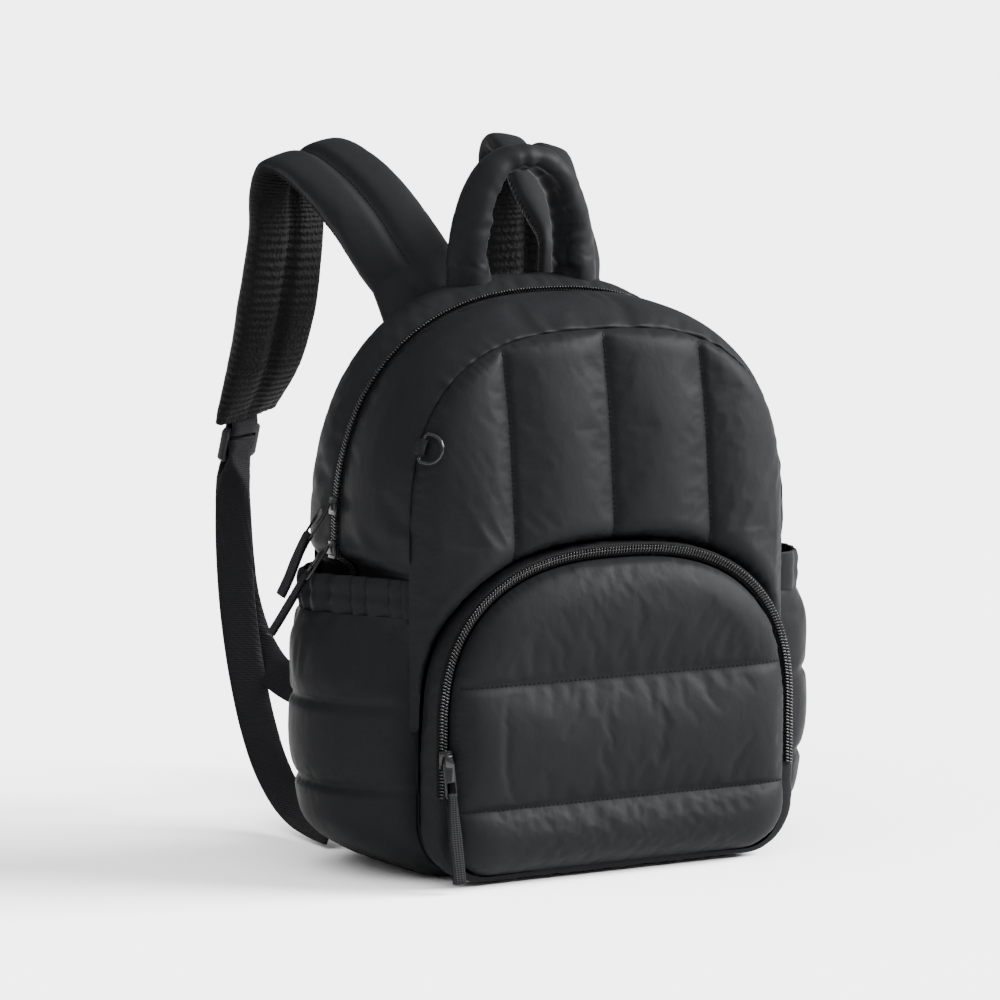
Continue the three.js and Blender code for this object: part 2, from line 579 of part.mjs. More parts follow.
// Haul handle: a padded roll bent into an arch, gathered along its inner seam.
// half is half the roll's radial thickness as a share of HANDLE_DEPTH, at a share of the way up.
const HANDLE_SECTIONS = [
  { up: 0.00, half: 0.50, depth: 1.00 },
  { up: 0.45, half: 0.42, depth: 0.96 },
  { up: 0.85, half: 0.32, depth: 0.94 },
  { up: 1.00, half: 0.26, depth: 1.00 },
];
const HANDLE_POWER = 2.3;
const HANDLE_STEPS = 22;
const HANDLE_SIDES = 10;
const HANDLE_GATHER = 0.16;      // depth of one gather as a share of the roll's half thickness
const handleFootZ = crownZ(0, HANDLE_Y);
function handleCentre(share) {
  const half = HANDLE_DEPTH * HANDLE_SECTIONS[HANDLE_SECTIONS.length - 1].half;
  const [x, rise] = archPoint(share * Math.PI, HANDLE_FOOT_HALF_SPAN, HANDLE_RISE - half, HANDLE_POWER);
  return new THREE.Vector3(x, HANDLE_Y, handleFootZ + rise);
}
function handleRing(share, index) {
  const centre = handleCentre(share);
  const up = (centre.z - handleFootZ) / HANDLE_RISE;
  const ahead = handleCentre(clamp01(share + 0.01)).sub(handleCentre(clamp01(share - 0.01))).normalize();
  const outward = new THREE.Vector3(-ahead.z, 0, ahead.x);
  const thick = HANDLE_DEPTH * readTable(HANDLE_SECTIONS, 'up', 'half', up);
  const wide = HANDLE_DEPTH / 2 * readTable(HANDLE_SECTIONS, 'up', 'depth', up);
  const ends = share === 0 || share === 1;
  return range(HANDLE_SIDES).map((side) => {
    const turn = 2 * Math.PI * side / HANDLE_SIDES;
    const inner = Math.cos(turn) < -0.4;
    const gather = inner && !ends ? 1 + HANDLE_GATHER * (index % 2 ? 1 : -1) : 1;
    const point = centre.clone().addScaledVector(outward, thick * Math.cos(turn) * gather);
    point.y += wide * Math.sin(turn);
    return ends ? onCrown(point) : point;
  });
}
place('haul_handle', loft(steps(HANDLE_STEPS).map(handleRing), false, onCrown), 'nylon');

// Shoulder strap: the middle line of the left one, and the direction of its width.
// x, y are measured from the back seam's middle and z from the crown, as shares of STRAP_REACH.
const STRAP_REACH = 180;
const STRAP_LINE = [
  { x: -0.322, y: 0.044, z: 0.078, turn: -20, lean: -22 },
  { x: -0.361, y: 0.133, z: 0.183, turn: -19, lean: -18 },
  { x: -0.383, y: 0.272, z: 0.306, turn: -15, lean: -12 },
  { x: -0.428, y: 0.444, z: 0.433, turn: -8, lean: -13 },
  { x: -0.472, y: 0.611, z: 0.500, turn: 8, lean: -15 },
  { x: -0.494, y: 0.683, z: 0.472, turn: 12, lean: -10 },
  { x: -0.511, y: 0.711, z: 0.378, turn: 11, lean: -4 },
  { x: -0.517, y: 0.711, z: 0.233, turn: 10, lean: 0 },
  { x: -0.533, y: 0.761, z: -0.050, turn: 2, lean: 0 },
  { x: -0.544, y: 0.850, z: -0.278, turn: 9, lean: 2 },
  { x: -0.556, y: 0.989, z: -0.483, turn: 25, lean: 3 },
];
const STRAP_SECTIONS = [
  { along: 0.00, width: 0.97, thick: 0.62 },
  { along: 0.10, width: 1.00, thick: 0.95 },
  { along: 0.50, width: 1.00, thick: 1.00 },
  { along: 0.80, width: 0.96, thick: 0.95 },
  { along: 0.94, width: 0.86, thick: 0.70 },
  { along: 1.00, width: 0.78, thick: 0.50 },
];
// Section of the pad: two padded channels on each face with a sewn groove between them.
const STRAP_PROFILE = [
  [-1, 0], [-0.86, 0.72], [-0.48, 1], [0, 1], [0.48, 1], [0.86, 0.72],
  [1, 0], [0.86, -0.72], [0.48, -0.95], [0, -0.95], [-0.48, -0.95], [-0.86, -0.72],
];
const GROOVE_POINTS = [3, 9];
const STRAP_STEPS = 22;
const toRadians = (degrees) => degrees * Math.PI / 180;
const ROOT_BELOW_CROWN = 15;     // the straps' roots are this much lower than the crown
const crownTop = SPRING_Z + CROWN_RISE - ROOT_BELOW_CROWN;
const strapCurve = new THREE.CatmullRomCurve3(STRAP_LINE.map(({ x, y, z }) => (
  new THREE.Vector3(x * STRAP_REACH, BACK_Y + y * STRAP_REACH, crownTop + z * STRAP_REACH)
)), false, 'centripetal');
function strapWidthAt(share) {
  const at = share * (STRAP_LINE.length - 1);
  const [low, high] = [Math.floor(at), Math.min(STRAP_LINE.length - 1, Math.floor(at) + 1)];
  const turn = toRadians(mix(STRAP_LINE[low].turn, STRAP_LINE[high].turn, at - low));
  const lean = toRadians(mix(STRAP_LINE[low].lean, STRAP_LINE[high].lean, at - low));
  const level = Math.cos(lean);
  return new THREE.Vector3(Math.cos(turn) * level, Math.sin(turn) * level, -Math.sin(lean));
}
function strapFrame(share) {
  const at = clamp01(share);
  const centre = strapCurve.getPoint(at);
  const ahead = strapCurve.getTangent(at);
  const width = strapWidthAt(at).addScaledVector(ahead, -strapWidthAt(at).dot(ahead)).normalize();
  return { centre, ahead, width, face: new THREE.Vector3().crossVectors(width, ahead) };
}
function strapRing(share) {
  const { centre, width, face } = strapFrame(share);
  const halfWidth = STRAP_WIDTH / 2 * readTable(STRAP_SECTIONS, 'along', 'width', share);
  const halfThick = STRAP_THICKNESS / 2 * readTable(STRAP_SECTIONS, 'along', 'thick', share);
  return STRAP_PROFILE.map(([across, height], index) => {
    const groove = GROOVE_POINTS.includes(index) ? STRAP_GROOVE * lens(share, 0.4) : 0;
    const lift = height * halfThick - Math.sign(height) * Math.min(groove, halfThick * 0.7);
    return centre.clone().addScaledVector(width, across * halfWidth).addScaledVector(face, lift);
  });
}
// The root stands on the back seam, with its lowest ring following the crown.
const ROOT_THICKNESS = 7;
const ROOT_CENTRE_X = STRAP_LINE[0].x * STRAP_REACH;
const seamTop = (x) => archZ(x, halfWidthAt(1, SPRING_Z + riseAt(1)), SPRING_Z, riseAt(1), ARCH_POWER_BACK);
const onSeam = ({ x, y }) => new THREE.Vector3(x, y, Math.max(seamTop(x), crownZ(x, y)) + 4 * CLEARANCE);
const strapRoot = STRAP_PROFILE.map(([across, height]) => onSeam({
  x: ROOT_CENTRE_X + across * STRAP_WIDTH / 2 * STRAP_SECTIONS[0].width,
  y: BACK_Y - height * ROOT_THICKNESS / 2,
}));
const strapShares = steps(STRAP_STEPS).map((share) => mix(0.035, 1, share));
const atRoot = (point) => point.z > crownTop - STRAP_WIDTH / 2 && point.y < BACK_Y + ROOT_THICKNESS;
const seatRoot = (point) => (atRoot(point) ? onSeam(point) : point);
const strapGeometry = loft([strapRoot, ...strapShares.map(strapRing)], false, seatRoot);

// A flat strip along a path: each row gives its middle and the direction of its width.
function strip(path, width, thickness) {
  const rings = path.map(({ at, across, wide = 1 }, index) => {
    const before = path[Math.max(0, index - 1)].at;
    const after = path[Math.min(path.length - 1, index + 1)].at;
    const ahead = after.clone().sub(before).normalize();
    const normal = new THREE.Vector3().crossVectors(across, ahead).normalize();
    const side = new THREE.Vector3().crossVectors(ahead, normal).normalize();
    return [[-1, -1], [1, -1], [1, 1], [-1, 1]].map(([u, v]) => (
      at.clone().addScaledVector(side, u * wide * width / 2).addScaledVector(normal, v * thickness / 2)
    ));
  });
  return loft(rings);
}

// Ladder lock: a frame with two slots. The tab wraps its top bar and the webbing its middle bar.
const BAR_HEIGHT = 4;
const SLOT_HEIGHT = 6;
const SLOT_PLAY = 1.5;           // webbing has this much room in a slot, across
const BUCKLE_GAP = 10;           // end of the pad to the top of the lock
const lockHeight = 3 * BAR_HEIGHT + 2 * SLOT_HEIGHT;
const lockWidth = WEBBING_WIDTH + SLOT_PLAY + 2 * BUCKLE_WALL;
const padEnd = strapFrame(1);
const lockDown = new THREE.Vector3(-0.05, 0.3, -0.95).normalize();
const lockAcross = new THREE.Vector3(0.93, 0.36, 0).normalize();
const lockOut = new THREE.Vector3().crossVectors(lockAcross, lockDown).normalize();
lockAcross.crossVectors(lockDown, lockOut).normalize();
const lockTop = padEnd.centre.clone().addScaledVector(lockDown, BUCKLE_GAP);
const lockPoint = (down, out, across = 0) => lockTop.clone()
  .addScaledVector(lockDown, down).addScaledVector(lockOut, out).addScaledVector(lockAcross, across);
const topBar = BAR_HEIGHT / 2;
const middleBar = 1.5 * BAR_HEIGHT + SLOT_HEIGHT;
function lockGeometry() {
  const rectangle = (outline, width, low, high) => {
    outline.moveTo(-width / 2, low).lineTo(width / 2, low).lineTo(width / 2, high).lineTo(-width / 2, high);
    outline.closePath();
    return outline;
  };
  const frame = new THREE.Shape();
  const [half, bevel] = [lockWidth / 2, BUCKLE_WALL / 2];
  frame.moveTo(-half + bevel, 0).lineTo(half - bevel, 0).lineTo(half, bevel);
  frame.lineTo(half, lockHeight - bevel);
  frame.lineTo(half - bevel, lockHeight).lineTo(bevel - half, lockHeight).lineTo(-half, lockHeight - bevel);
  frame.lineTo(-half, bevel).closePath();
  for (const low of [BAR_HEIGHT, 2 * BAR_HEIGHT + SLOT_HEIGHT]) {
    frame.holes.push(rectangle(new THREE.Path(), WEBBING_WIDTH + SLOT_PLAY, low, low + SLOT_HEIGHT));
  }
  const geometry = new THREE.ExtrudeGeometry(frame, { depth: BUCKLE_THICKNESS, bevelEnabled: false });
  return geometry.translate(0, 0, -BUCKLE_THICKNESS / 2);
}
const lockBasis = new THREE.Matrix4().makeBasis(lockAcross, lockDown, lockOut).setPosition(lockTop);

// Path of a strap round one edge of a flat bar, from its front face to its back face: out and down.
const BAR_TURN = 0.72;           // where the path cuts each corner of the bar, as a share of its standoff
function loopRound(halfThickness, halfHeight, lay) {
  const corners = [
    [halfThickness + lay, 0],
    [halfThickness + lay, halfHeight],
    [halfThickness + lay * BAR_TURN, halfHeight + lay * BAR_TURN],
    [halfThickness, halfHeight + lay],
  ];
  return [...corners, ...corners.map(([out, down]) => [-out, down]).reverse()];
}
const barLay = 2 * CLEARANCE + WEBBING_THICKNESS / 2;
const barLoop = loopRound(BUCKLE_THICKNESS / 2, BAR_HEIGHT / 2, barLay);
// The loop round a bar, led in and out past the edge of the lock that lies beyond it.
function bend(bar, beyond, sign) {
  const lead = (out) => [out, sign * (beyond - bar)];
  const side = BUCKLE_THICKNESS / 2 + barLay;
  return [lead(side), ...barLoop, lead(-side)].map(([out, down]) => (
    { at: lockPoint(bar + sign * down, out), across: lockAcross }
  ));
}
const tabPly = (reach, sign) => ({
  at: padEnd.centre.clone().addScaledVector(padEnd.ahead, reach)
    .addScaledVector(padEnd.face, sign * 0.7 * WEBBING_THICKNESS),
  across: lockAcross,
});
const tabPath = [
  tabPly(CLEARANCE, 1), tabPly(BUCKLE_GAP / 3, 1), ...bend(topBar, -barLay, 1),
  tabPly(BUCKLE_GAP / 3, -1), tabPly(CLEARANCE, -1),
];

// Webbing from the bottom corner up to the lock, over its middle bar and down again as a free tail.
// x, y and z are shares of WEBBING_DROP from the lock's top, and width is the direction of the width.
const WEBBING_DROP = 256;
const LOAD_LINE = [
  { x: -0.090, y: -0.672, z: -0.980, width: [0.30, -0.30, 0.90] },
  { x: -0.082, y: -0.563, z: -0.980, width: [0.36, -0.34, 0.87] },
  { x: -0.073, y: -0.440, z: -0.969, width: [0.45, -0.40, 0.80] },
  { x: -0.063, y: -0.338, z: -0.934, width: [0.58, -0.45, 0.68] },
  { x: -0.051, y: -0.230, z: -0.863, width: [0.75, -0.50, 0.42] },
  { x: -0.039, y: -0.138, z: -0.758, width: [0.84, -0.50, 0.20] },
  { x: -0.029, y: -0.060, z: -0.625, width: [0.87, -0.49, 0.06] },
  { x: -0.022, y: -0.004, z: -0.473, width: [0.87, -0.49, 0.00] },
  { x: -0.018, y: 0.020, z: -0.316, width: [0.87, -0.49, 0.00] },
  { x: -0.016, y: 0.025, z: -0.160, width: [0.92, -0.30, 0.00] },
];
const TAIL_LINE = [
  { x: 0.000, y: 0.059, z: -0.160, width: [0.92, -0.30, 0.00] },
  { x: 0.008, y: 0.066, z: -0.297, width: [0.87, -0.49, 0.00] },
  { x: 0.012, y: 0.047, z: -0.453, width: [0.87, -0.49, 0.00] },
  { x: 0.020, y: -0.008, z: -0.570, width: [0.88, -0.42, 0.20] },
  { x: 0.031, y: -0.109, z: -0.656, width: [0.80, -0.30, 0.50] },
  { x: 0.039, y: -0.215, z: -0.680, width: [0.60, -0.20, 0.77] },
  { x: 0.047, y: -0.312, z: -0.688, width: [0.40, -0.15, 0.90] },
];
const alongWebbing = (rows) => rows.map(({ x, y, z, width }) => ({
  at: lockTop.clone().add(new THREE.Vector3(x, y, z).multiplyScalar(WEBBING_DROP)),
  across: new THREE.Vector3(...width).normalize(),
}));
const webbingPath = [
  ...alongWebbing(LOAD_LINE), ...bend(middleBar, lockHeight + barLay, -1).reverse(),
  ...alongWebbing(TAIL_LINE),
];
const mirror = new THREE.Matrix4().makeScale(-1, 1, 1);
function mirrored(geometry) {
  const copy = geometry.clone().applyMatrix4(mirror);
  const index = Array.from(copy.index ? copy.index.array : range(copy.attributes.position.count));
  for (let i = 0; i < index.length; i += 3) [index[i], index[i + 1]] = [index[i + 1], index[i]];
  copy.setIndex(index);
  copy.computeVertexNormals();
  return copy;
}
for (const [piece, finish, geometry] of [
  ['shoulder_strap', 'nylon', strapGeometry],
  ['strap_tab', 'webbing', strip(tabPath, WEBBING_WIDTH, WEBBING_THICKNESS)],
  ['ladder_lock', 'plastic', lockGeometry().applyMatrix4(lockBasis)],
  ['webbing', 'webbing', strip(webbingPath, WEBBING_WIDTH, WEBBING_THICKNESS)],
]) {
  place(`${piece}_left`, geometry, finish);
  place(`${piece}_right`, mirrored(geometry), finish);
}

// Puts a shape drawn with x across, y down and z out at a place on the bag.
function turnedTo(mesh, origin, down, out) {
  const across = new THREE.Vector3().crossVectors(down, out).normalize();
  const facing = new THREE.Vector3().crossVectors(across, down).normalize();
  const basis = new THREE.Matrix4().makeBasis(across, down.clone().normalize(), facing);
  mesh.quaternion.setFromRotationMatrix(basis);
  mesh.position.copy(origin);
}
function outline(points) {
  const shape = new THREE.Shape();
  points.forEach(([x, y], index) => (index ? shape.lineTo(x, y) : shape.moveTo(x, y)));
  shape.closePath();
  return shape;
}
const slab = (shape, depth) => (
  new THREE.ExtrudeGeometry(shape, { depth, bevelEnabled: false }).translate(0, 0, -depth / 2)
);

// Slider: a plate over the coil with a raised bridge, drawn from the side and extruded across.
const PLATE = 1.6;
const BRIDGE_START = 0.25;       // bridge along the slider, as shares of its length
const BRIDGE_END = 0.75;
function sliderGeometry() {
  const [start, end] = [BRIDGE_START * SLIDER_LENGTH, BRIDGE_END * SLIDER_LENGTH];
  const side = outline([
    [0, 0], [0, SLIDER_LENGTH], [PLATE, SLIDER_LENGTH], [PLATE, end + PLATE / 2],
    [SLIDER_HEIGHT, end], [SLIDER_HEIGHT, start], [PLATE, start - PLATE / 2], [PLATE, 0],
  ]);
  return slab(side, SLIDER_WIDTH).rotateY(-Math.PI / 2);
}

// Pull: a flat frame with a slot at its lower end, where the ribbon wraps the end bar.
const PULL_BAR = 1.8;
const RIBBON_PLAY = 0.5;
function pullGeometry() {
  const half = PULL_WIDTH / 2;
  const shape = outline([
    [-half * 0.6, 0], [half * 0.6, 0], [half, PULL_LENGTH * 0.2], [half, PULL_LENGTH - PULL_BAR],
    [half * 0.8, PULL_LENGTH], [-half * 0.8, PULL_LENGTH],
    [-half, PULL_LENGTH - PULL_BAR], [-half, PULL_LENGTH * 0.2],
  ]);
  const inner = half - PULL_BAR / 2;
  const [low, high] = [PULL_LENGTH * 0.62, PULL_LENGTH - PULL_BAR];
  shape.holes.push(outline([[-inner, low], [inner, low], [inner, high], [-inner, high]]));
  return slab(shape, PULL_THICKNESS);
}
// Ribbon: one strip folded over the end bar, its two plies hanging side by side.
// The rows give where the folded ribbon runs below the pull: share of its length, lean out and sideways.
function ribbonGeometry(origin, down, out, length, drift) {
  const across = new THREE.Vector3().crossVectors(down, out).normalize();
  const facing = new THREE.Vector3().crossVectors(across, down).normalize();
  const bar = PULL_LENGTH - PULL_BAR / 2;
  const lay = 2 * CLEARANCE + RIBBON_THICKNESS / 4;
  const radius = PULL_THICKNESS / 2 + lay;
  const pinch = (PULL_WIDTH - PULL_BAR - RIBBON_PLAY) / RIBBON_WIDTH;
  const ply = (sign) => [0, 0.2, 0.45, 0.75, 1].map((share) => ({
    at: origin.clone().addScaledVector(down, bar + PULL_BAR / 2 + lay + share * length)
      .addScaledVector(facing, sign * mix(radius, RIBBON_THICKNESS * 0.4, smooth(share * 4)))
      .addScaledVector(drift, smooth(share) * length),
    across, wide: mix(pinch, 1, smooth(share * 3)),
  }));
  const fold = loopRound(PULL_THICKNESS / 2, PULL_BAR / 2, lay).map(([out, rise]) => ({
    at: origin.clone().addScaledVector(down, bar - rise).addScaledVector(facing, out), across, wide: pinch,
  }));
  return strip([...ply(1).reverse(), ...fold, ...ply(-1)], RIBBON_WIDTH, RIBBON_THICKNESS / 2);
}

// Where the sliders stand, the way that each pull hangs and how its ribbon drifts over its length.
const mainZipX = (z) => {
  const depth = depthAt(MAIN_ZIP_Y);
  const over = clamp01((z - SPRING_Z) / riseAt(depth));
  const power = powerAt(depth);
  return -halfWidthAt(depth, z) * Math.pow(1 - Math.pow(over, power), 1 / power);
};
const DOWN = new THREE.Vector3(0, 0, -1);
const pocketZipX = -(POCKET_HALF_WIDTH - TAPE_WIDTH / 2);
const LEFTWARDS = new THREE.Vector3(-1, 0, 0);
const FORWARDS = new THREE.Vector3(0, -1, 0);
const UPPER_SLIDER_Z = SPRING_Z + 32;
const LOWER_SLIDER_Z = SPRING_Z + 4;
const mainZipRun = mainZipX(UPPER_SLIDER_Z - SLIDER_LENGTH) - mainZipX(UPPER_SLIDER_Z);
const SLIDERS = [
  {
    suffix: 'upper', top: new THREE.Vector3(mainZipX(UPPER_SLIDER_Z), MAIN_ZIP_Y, UPPER_SLIDER_Z),
    down: new THREE.Vector3(mainZipRun, 0, -SLIDER_LENGTH), out: LEFTWARDS, ribbon: MAIN_RIBBON_LENGTH,
    hang: new THREE.Vector3(-0.52, 0.34, -1), drift: new THREE.Vector3(0.10, -0.12, 0),
  },
  {
    suffix: 'lower', top: new THREE.Vector3(mainZipX(LOWER_SLIDER_Z), MAIN_ZIP_Y, LOWER_SLIDER_Z),
    down: DOWN, out: LEFTWARDS, ribbon: MAIN_RIBBON_LENGTH,
    hang: new THREE.Vector3(-0.85, -0.06, -1), drift: new THREE.Vector3(0.10, 0.06, 0),
  },
  {
    suffix: 'pocket', top: new THREE.Vector3(pocketZipX, POCKET_ZIP_Y, POCKET_SLIDER_Z),
    down: DOWN, out: FORWARDS, ribbon: RIBBON_LENGTH,
    hang: new THREE.Vector3(0.04, -0.10, -1), drift: new THREE.Vector3(0.02, 0.02, 0),
  },
];
for (const { suffix, top, down, out, hang, ribbon, drift } of SLIDERS) {
  const along = down.clone().normalize();
  const outward = out.clone().addScaledVector(along, -out.dot(along)).normalize();
  const base = top.clone().addScaledVector(outward, COIL_HEIGHT + CLEARANCE);
  turnedTo(place(`slider_${suffix}`, sliderGeometry(), 'metal'), base, along, outward);
  const hanging = hang.clone().normalize();
  const pullOut = out.clone().addScaledVector(hanging, -out.dot(hanging)).normalize();
  const hook = base.clone().addScaledVector(along, BRIDGE_START * SLIDER_LENGTH)
    .addScaledVector(outward, SLIDER_HEIGHT + 2 * CLEARANCE + PULL_THICKNESS / 2);
  turnedTo(place(`pull_${suffix}`, pullGeometry(), 'metal'), hook, hanging, pullOut);
  place(`ribbon_${suffix}`, ribbonGeometry(hook, hanging, pullOut, ribbon, drift), 'nylon');
}

// D-ring beside the left front seam, its bar in a folded tab sewn into the seam.
const ringZ = SPRING_Z + RING_ABOVE_SPRING;
const seamHalfWidthAt = (z) => HALF_WIDTH * Math.pow(
  1 - Math.pow(clamp01((z - SPRING_Z) / FRONT_ARCH_RISE), ARCH_POWER_FRONT), 1 / ARCH_POWER_FRONT,
);
const wireRadius = RING_WIRE / 2;
const tabRadius = wireRadius + RING_PLAY + RING_TAB_WALL / 2;
const tabOuter = tabRadius + RING_TAB_WALL / 2;
const ringHalf = (RING_HEIGHT - RING_WIRE) / 2;
const ringReach = RING_REACH - RING_WIRE;
const seamRun = (seamHalfWidthAt(ringZ - ringHalf) - seamHalfWidthAt(ringZ + ringHalf)) / (2 * ringHalf);
const barUp = new THREE.Vector3(seamRun, 0, 1).normalize();
const barCentre = new THREE.Vector3(
  -(seamHalfWidthAt(ringZ) + seamRun * RING_TAB_WIDTH / 2 + RING_STAND),
  FRONT_Y - SEAM_EDGE - tabOuter - RING_STAND, ringZ,
);
function channelShare(x) {
  const end = CHANNEL_LINES.findIndex((line) => line * HALF_WIDTH > x);
  const [from, to] = [CHANNEL_LINES[end - 1], CHANNEL_LINES[end]];
  return (x / HALF_WIDTH - from) / (to - from);
}
// The ring lies on the quilted panel: the flattest angle at which its whole plane stays clear of it.
function ringClears(angle) {
  return [0.3, 0.5, 0.7, 0.85, 1].every((share) => {
    const x = barCentre.x + share * (ringReach + wireRadius) * Math.cos(angle);
    const y = barCentre.y - share * (ringReach + wireRadius) * Math.sin(angle);
    return [-1, -0.5, 0, 0.5, 1].every((up) => {
      const z = ringZ + up * (ringHalf + wireRadius);
      if (Math.abs(x) >= seamHalfWidthAt(z)) return true;
      return y < frontPanelY(x, z, channelShare(x)) - wireRadius - RING_STAND;
    });
  });
}
const RING_ANGLES = steps(90).map((share) => share * Math.PI / 2);
const ringAngle = RING_ANGLES.find(ringClears) ?? Math.PI / 2;
const ringAway = new THREE.Vector3(Math.cos(ringAngle), -Math.sin(ringAngle), 0);
ringAway.addScaledVector(barUp, -ringAway.dot(barUp)).normalize();
const cornerCut = RING_WIRE * 0.8;
const ringPath = [
  [0, 0], [0, ringHalf - cornerCut], [cornerCut, ringHalf],
  ...steps(8).map((share) => {
    const turn = Math.PI / 2 - share * Math.PI;
    return [ringReach - ringHalf + ringHalf * Math.cos(turn), ringHalf * Math.sin(turn)];
  }),
  [cornerCut, -ringHalf], [0, cornerCut - ringHalf],
];
const RING_SIDES = 6;
function ringSection([away, up], index) {
  const before = ringPath[(index + ringPath.length - 1) % ringPath.length];
  const after = ringPath[(index + 1) % ringPath.length];
  const ahead = new THREE.Vector2(after[0] - before[0], after[1] - before[1]).normalize();
  const normal = new THREE.Vector3().crossVectors(ringAway, barUp);
  const centre = barCentre.clone().addScaledVector(ringAway, away).addScaledVector(barUp, up);
  const outwards = ringAway.clone().multiplyScalar(ahead.y).addScaledVector(barUp, -ahead.x);
  return range(RING_SIDES).map((side) => {
    const turn = 2 * Math.PI * side / RING_SIDES;
    return centre.clone().addScaledVector(outwards, wireRadius * Math.cos(turn))
      .addScaledVector(normal, wireRadius * Math.sin(turn));
  });
}
place('d_ring', loft(ringPath.map(ringSection), true), 'metal');

// The tab runs from the seam round the bar and back, opposite to where the ring swings.
const tabBack = new THREE.Vector3(0, 1, 0);
const tabSide = new THREE.Vector3().crossVectors(tabBack, barUp).normalize();
const tabLength = FRONT_Y - CLEARANCE * 2 - barCentre.y;
const ringTabPly = (sign) => ({
  at: barCentre.clone().addScaledVector(tabBack, tabLength)
    .addScaledVector(tabSide, sign * 0.7 * RING_TAB_WALL),
  across: barUp,
});
const tabFold = steps(8).map((share) => {
  const turn = Math.PI / 2 - share * Math.PI;
  return {
    at: barCentre.clone().addScaledVector(tabSide, tabRadius * Math.sin(turn))
      .addScaledVector(tabBack, -tabRadius * Math.cos(turn)),
    across: barUp,
  };
});
const ringTabPath = [ringTabPly(1), ...tabFold, ringTabPly(-1)];
place('d_ring_tab', strip(ringTabPath, RING_TAB_WIDTH, RING_TAB_WALL), 'webbing');

export default bag;
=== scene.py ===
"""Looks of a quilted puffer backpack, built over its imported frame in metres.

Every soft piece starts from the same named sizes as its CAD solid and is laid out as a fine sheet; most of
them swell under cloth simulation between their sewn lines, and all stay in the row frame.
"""

import json
import logging
import math
from dataclasses import dataclass, field
from enum import Enum
from functools import cached_property
from typing import Callable, Iterable, Sequence

import bpy
import numpy as np
from mathutils import Matrix, Vector, noise
from mathutils.geometry import delaunay_2d_cdt
from mathutils.kdtree import KDTree

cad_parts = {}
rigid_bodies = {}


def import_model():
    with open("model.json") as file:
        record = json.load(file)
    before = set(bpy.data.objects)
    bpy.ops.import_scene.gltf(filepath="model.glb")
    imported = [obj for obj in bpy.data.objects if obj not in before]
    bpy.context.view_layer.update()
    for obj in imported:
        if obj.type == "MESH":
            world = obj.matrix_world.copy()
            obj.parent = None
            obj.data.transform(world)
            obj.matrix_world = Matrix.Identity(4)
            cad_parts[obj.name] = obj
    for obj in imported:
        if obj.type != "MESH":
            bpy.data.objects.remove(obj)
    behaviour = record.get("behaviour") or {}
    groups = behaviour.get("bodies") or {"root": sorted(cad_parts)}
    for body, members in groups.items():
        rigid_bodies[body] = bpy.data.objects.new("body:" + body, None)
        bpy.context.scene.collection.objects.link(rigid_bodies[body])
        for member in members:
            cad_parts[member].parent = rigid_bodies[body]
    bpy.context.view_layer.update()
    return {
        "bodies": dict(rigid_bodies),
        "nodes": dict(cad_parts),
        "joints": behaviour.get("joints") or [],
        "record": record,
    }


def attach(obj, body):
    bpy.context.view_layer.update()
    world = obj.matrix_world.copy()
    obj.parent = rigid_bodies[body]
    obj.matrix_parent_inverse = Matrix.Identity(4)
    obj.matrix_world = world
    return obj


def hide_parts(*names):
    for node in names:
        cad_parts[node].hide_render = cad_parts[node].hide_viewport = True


MM = 0.001
SEED = 41
EDGE_GAP = 0.2
LOG = logging.getLogger("backpack")


# Small numeric helpers

def clamp01(value: float) -> float:
    """Limit a number to the range from 0 to 1."""
    return min(1.0, max(0.0, value))


def mix(low: float, high: float, share: float) -> float:
    """Blend two numbers by a share."""
    return low + (high - low) * share


def smooth(value: float) -> float:
    """Ease a share in and out."""
    share = clamp01(value)
    return share * share * (3 - 2 * share)


def lens(share: float, power: float = 0.6) -> float:
    """Rise of a padded strip across its width: zero on both seams, full in the middle."""
    return max(0.0, math.sin(math.pi * clamp01(share))) ** power


def fullness(distance: float, reach: float) -> float:
    """Quarter round: how full a padded edge is at a distance from its seam."""
    short = 1 - clamp01(distance / reach)
    return math.sqrt(max(0.0, 1 - short * short))


def read_table(rows: Sequence[tuple[float, float]], at: float) -> float:
    """Read a table of (key, value) rows smoothly.

    Args:
        rows: the table, by rising key.
        at: the key to read at; outside the table the end value holds.

    Returns:
        The value, by a cubic through the rows.
    """
    if at <= rows[0][0]:
        return rows[0][1]
    if at >= rows[-1][0]:
        return rows[-1][1]
    after = next(index for index, row in enumerate(rows) if row[0] >= at)
    (key0, value0), (key1, value1) = rows[after - 1], rows[after]
    span = key1 - key0
    share = (at - key0) / span

    def slope(index: int) -> float:
        """Rise at a row, from the rows beside it."""
        low, high = rows[max(0, index - 1)], rows[min(len(rows) - 1, index + 1)]
        return (high[1] - low[1]) / (high[0] - low[0])

    square, cube = share ** 2, share ** 3
    return ((2 * cube - 3 * square + 1) * value0 + (cube - 2 * square + share) * span * slope(after - 1)
            + (3 * square - 2 * cube) * value1 + (cube - square) * span * slope(after))


def bent(value: float, power: float) -> float:
    """A power of a number's size, with its sign kept."""
    return math.copysign(abs(value) ** power, value)


def arch_line(half_width: float, spring: float, rise: float, power: float,
              count: int) -> list[tuple[float, float]]:
    """Points (x, z) of an arched outline, from its left spring over the top to its right spring."""
    return [(-bent(math.cos(turn), 2 / power) * half_width, spring + math.sin(turn) ** (2 / power) * rise)
            for turn in np.linspace(0, math.pi, count)]


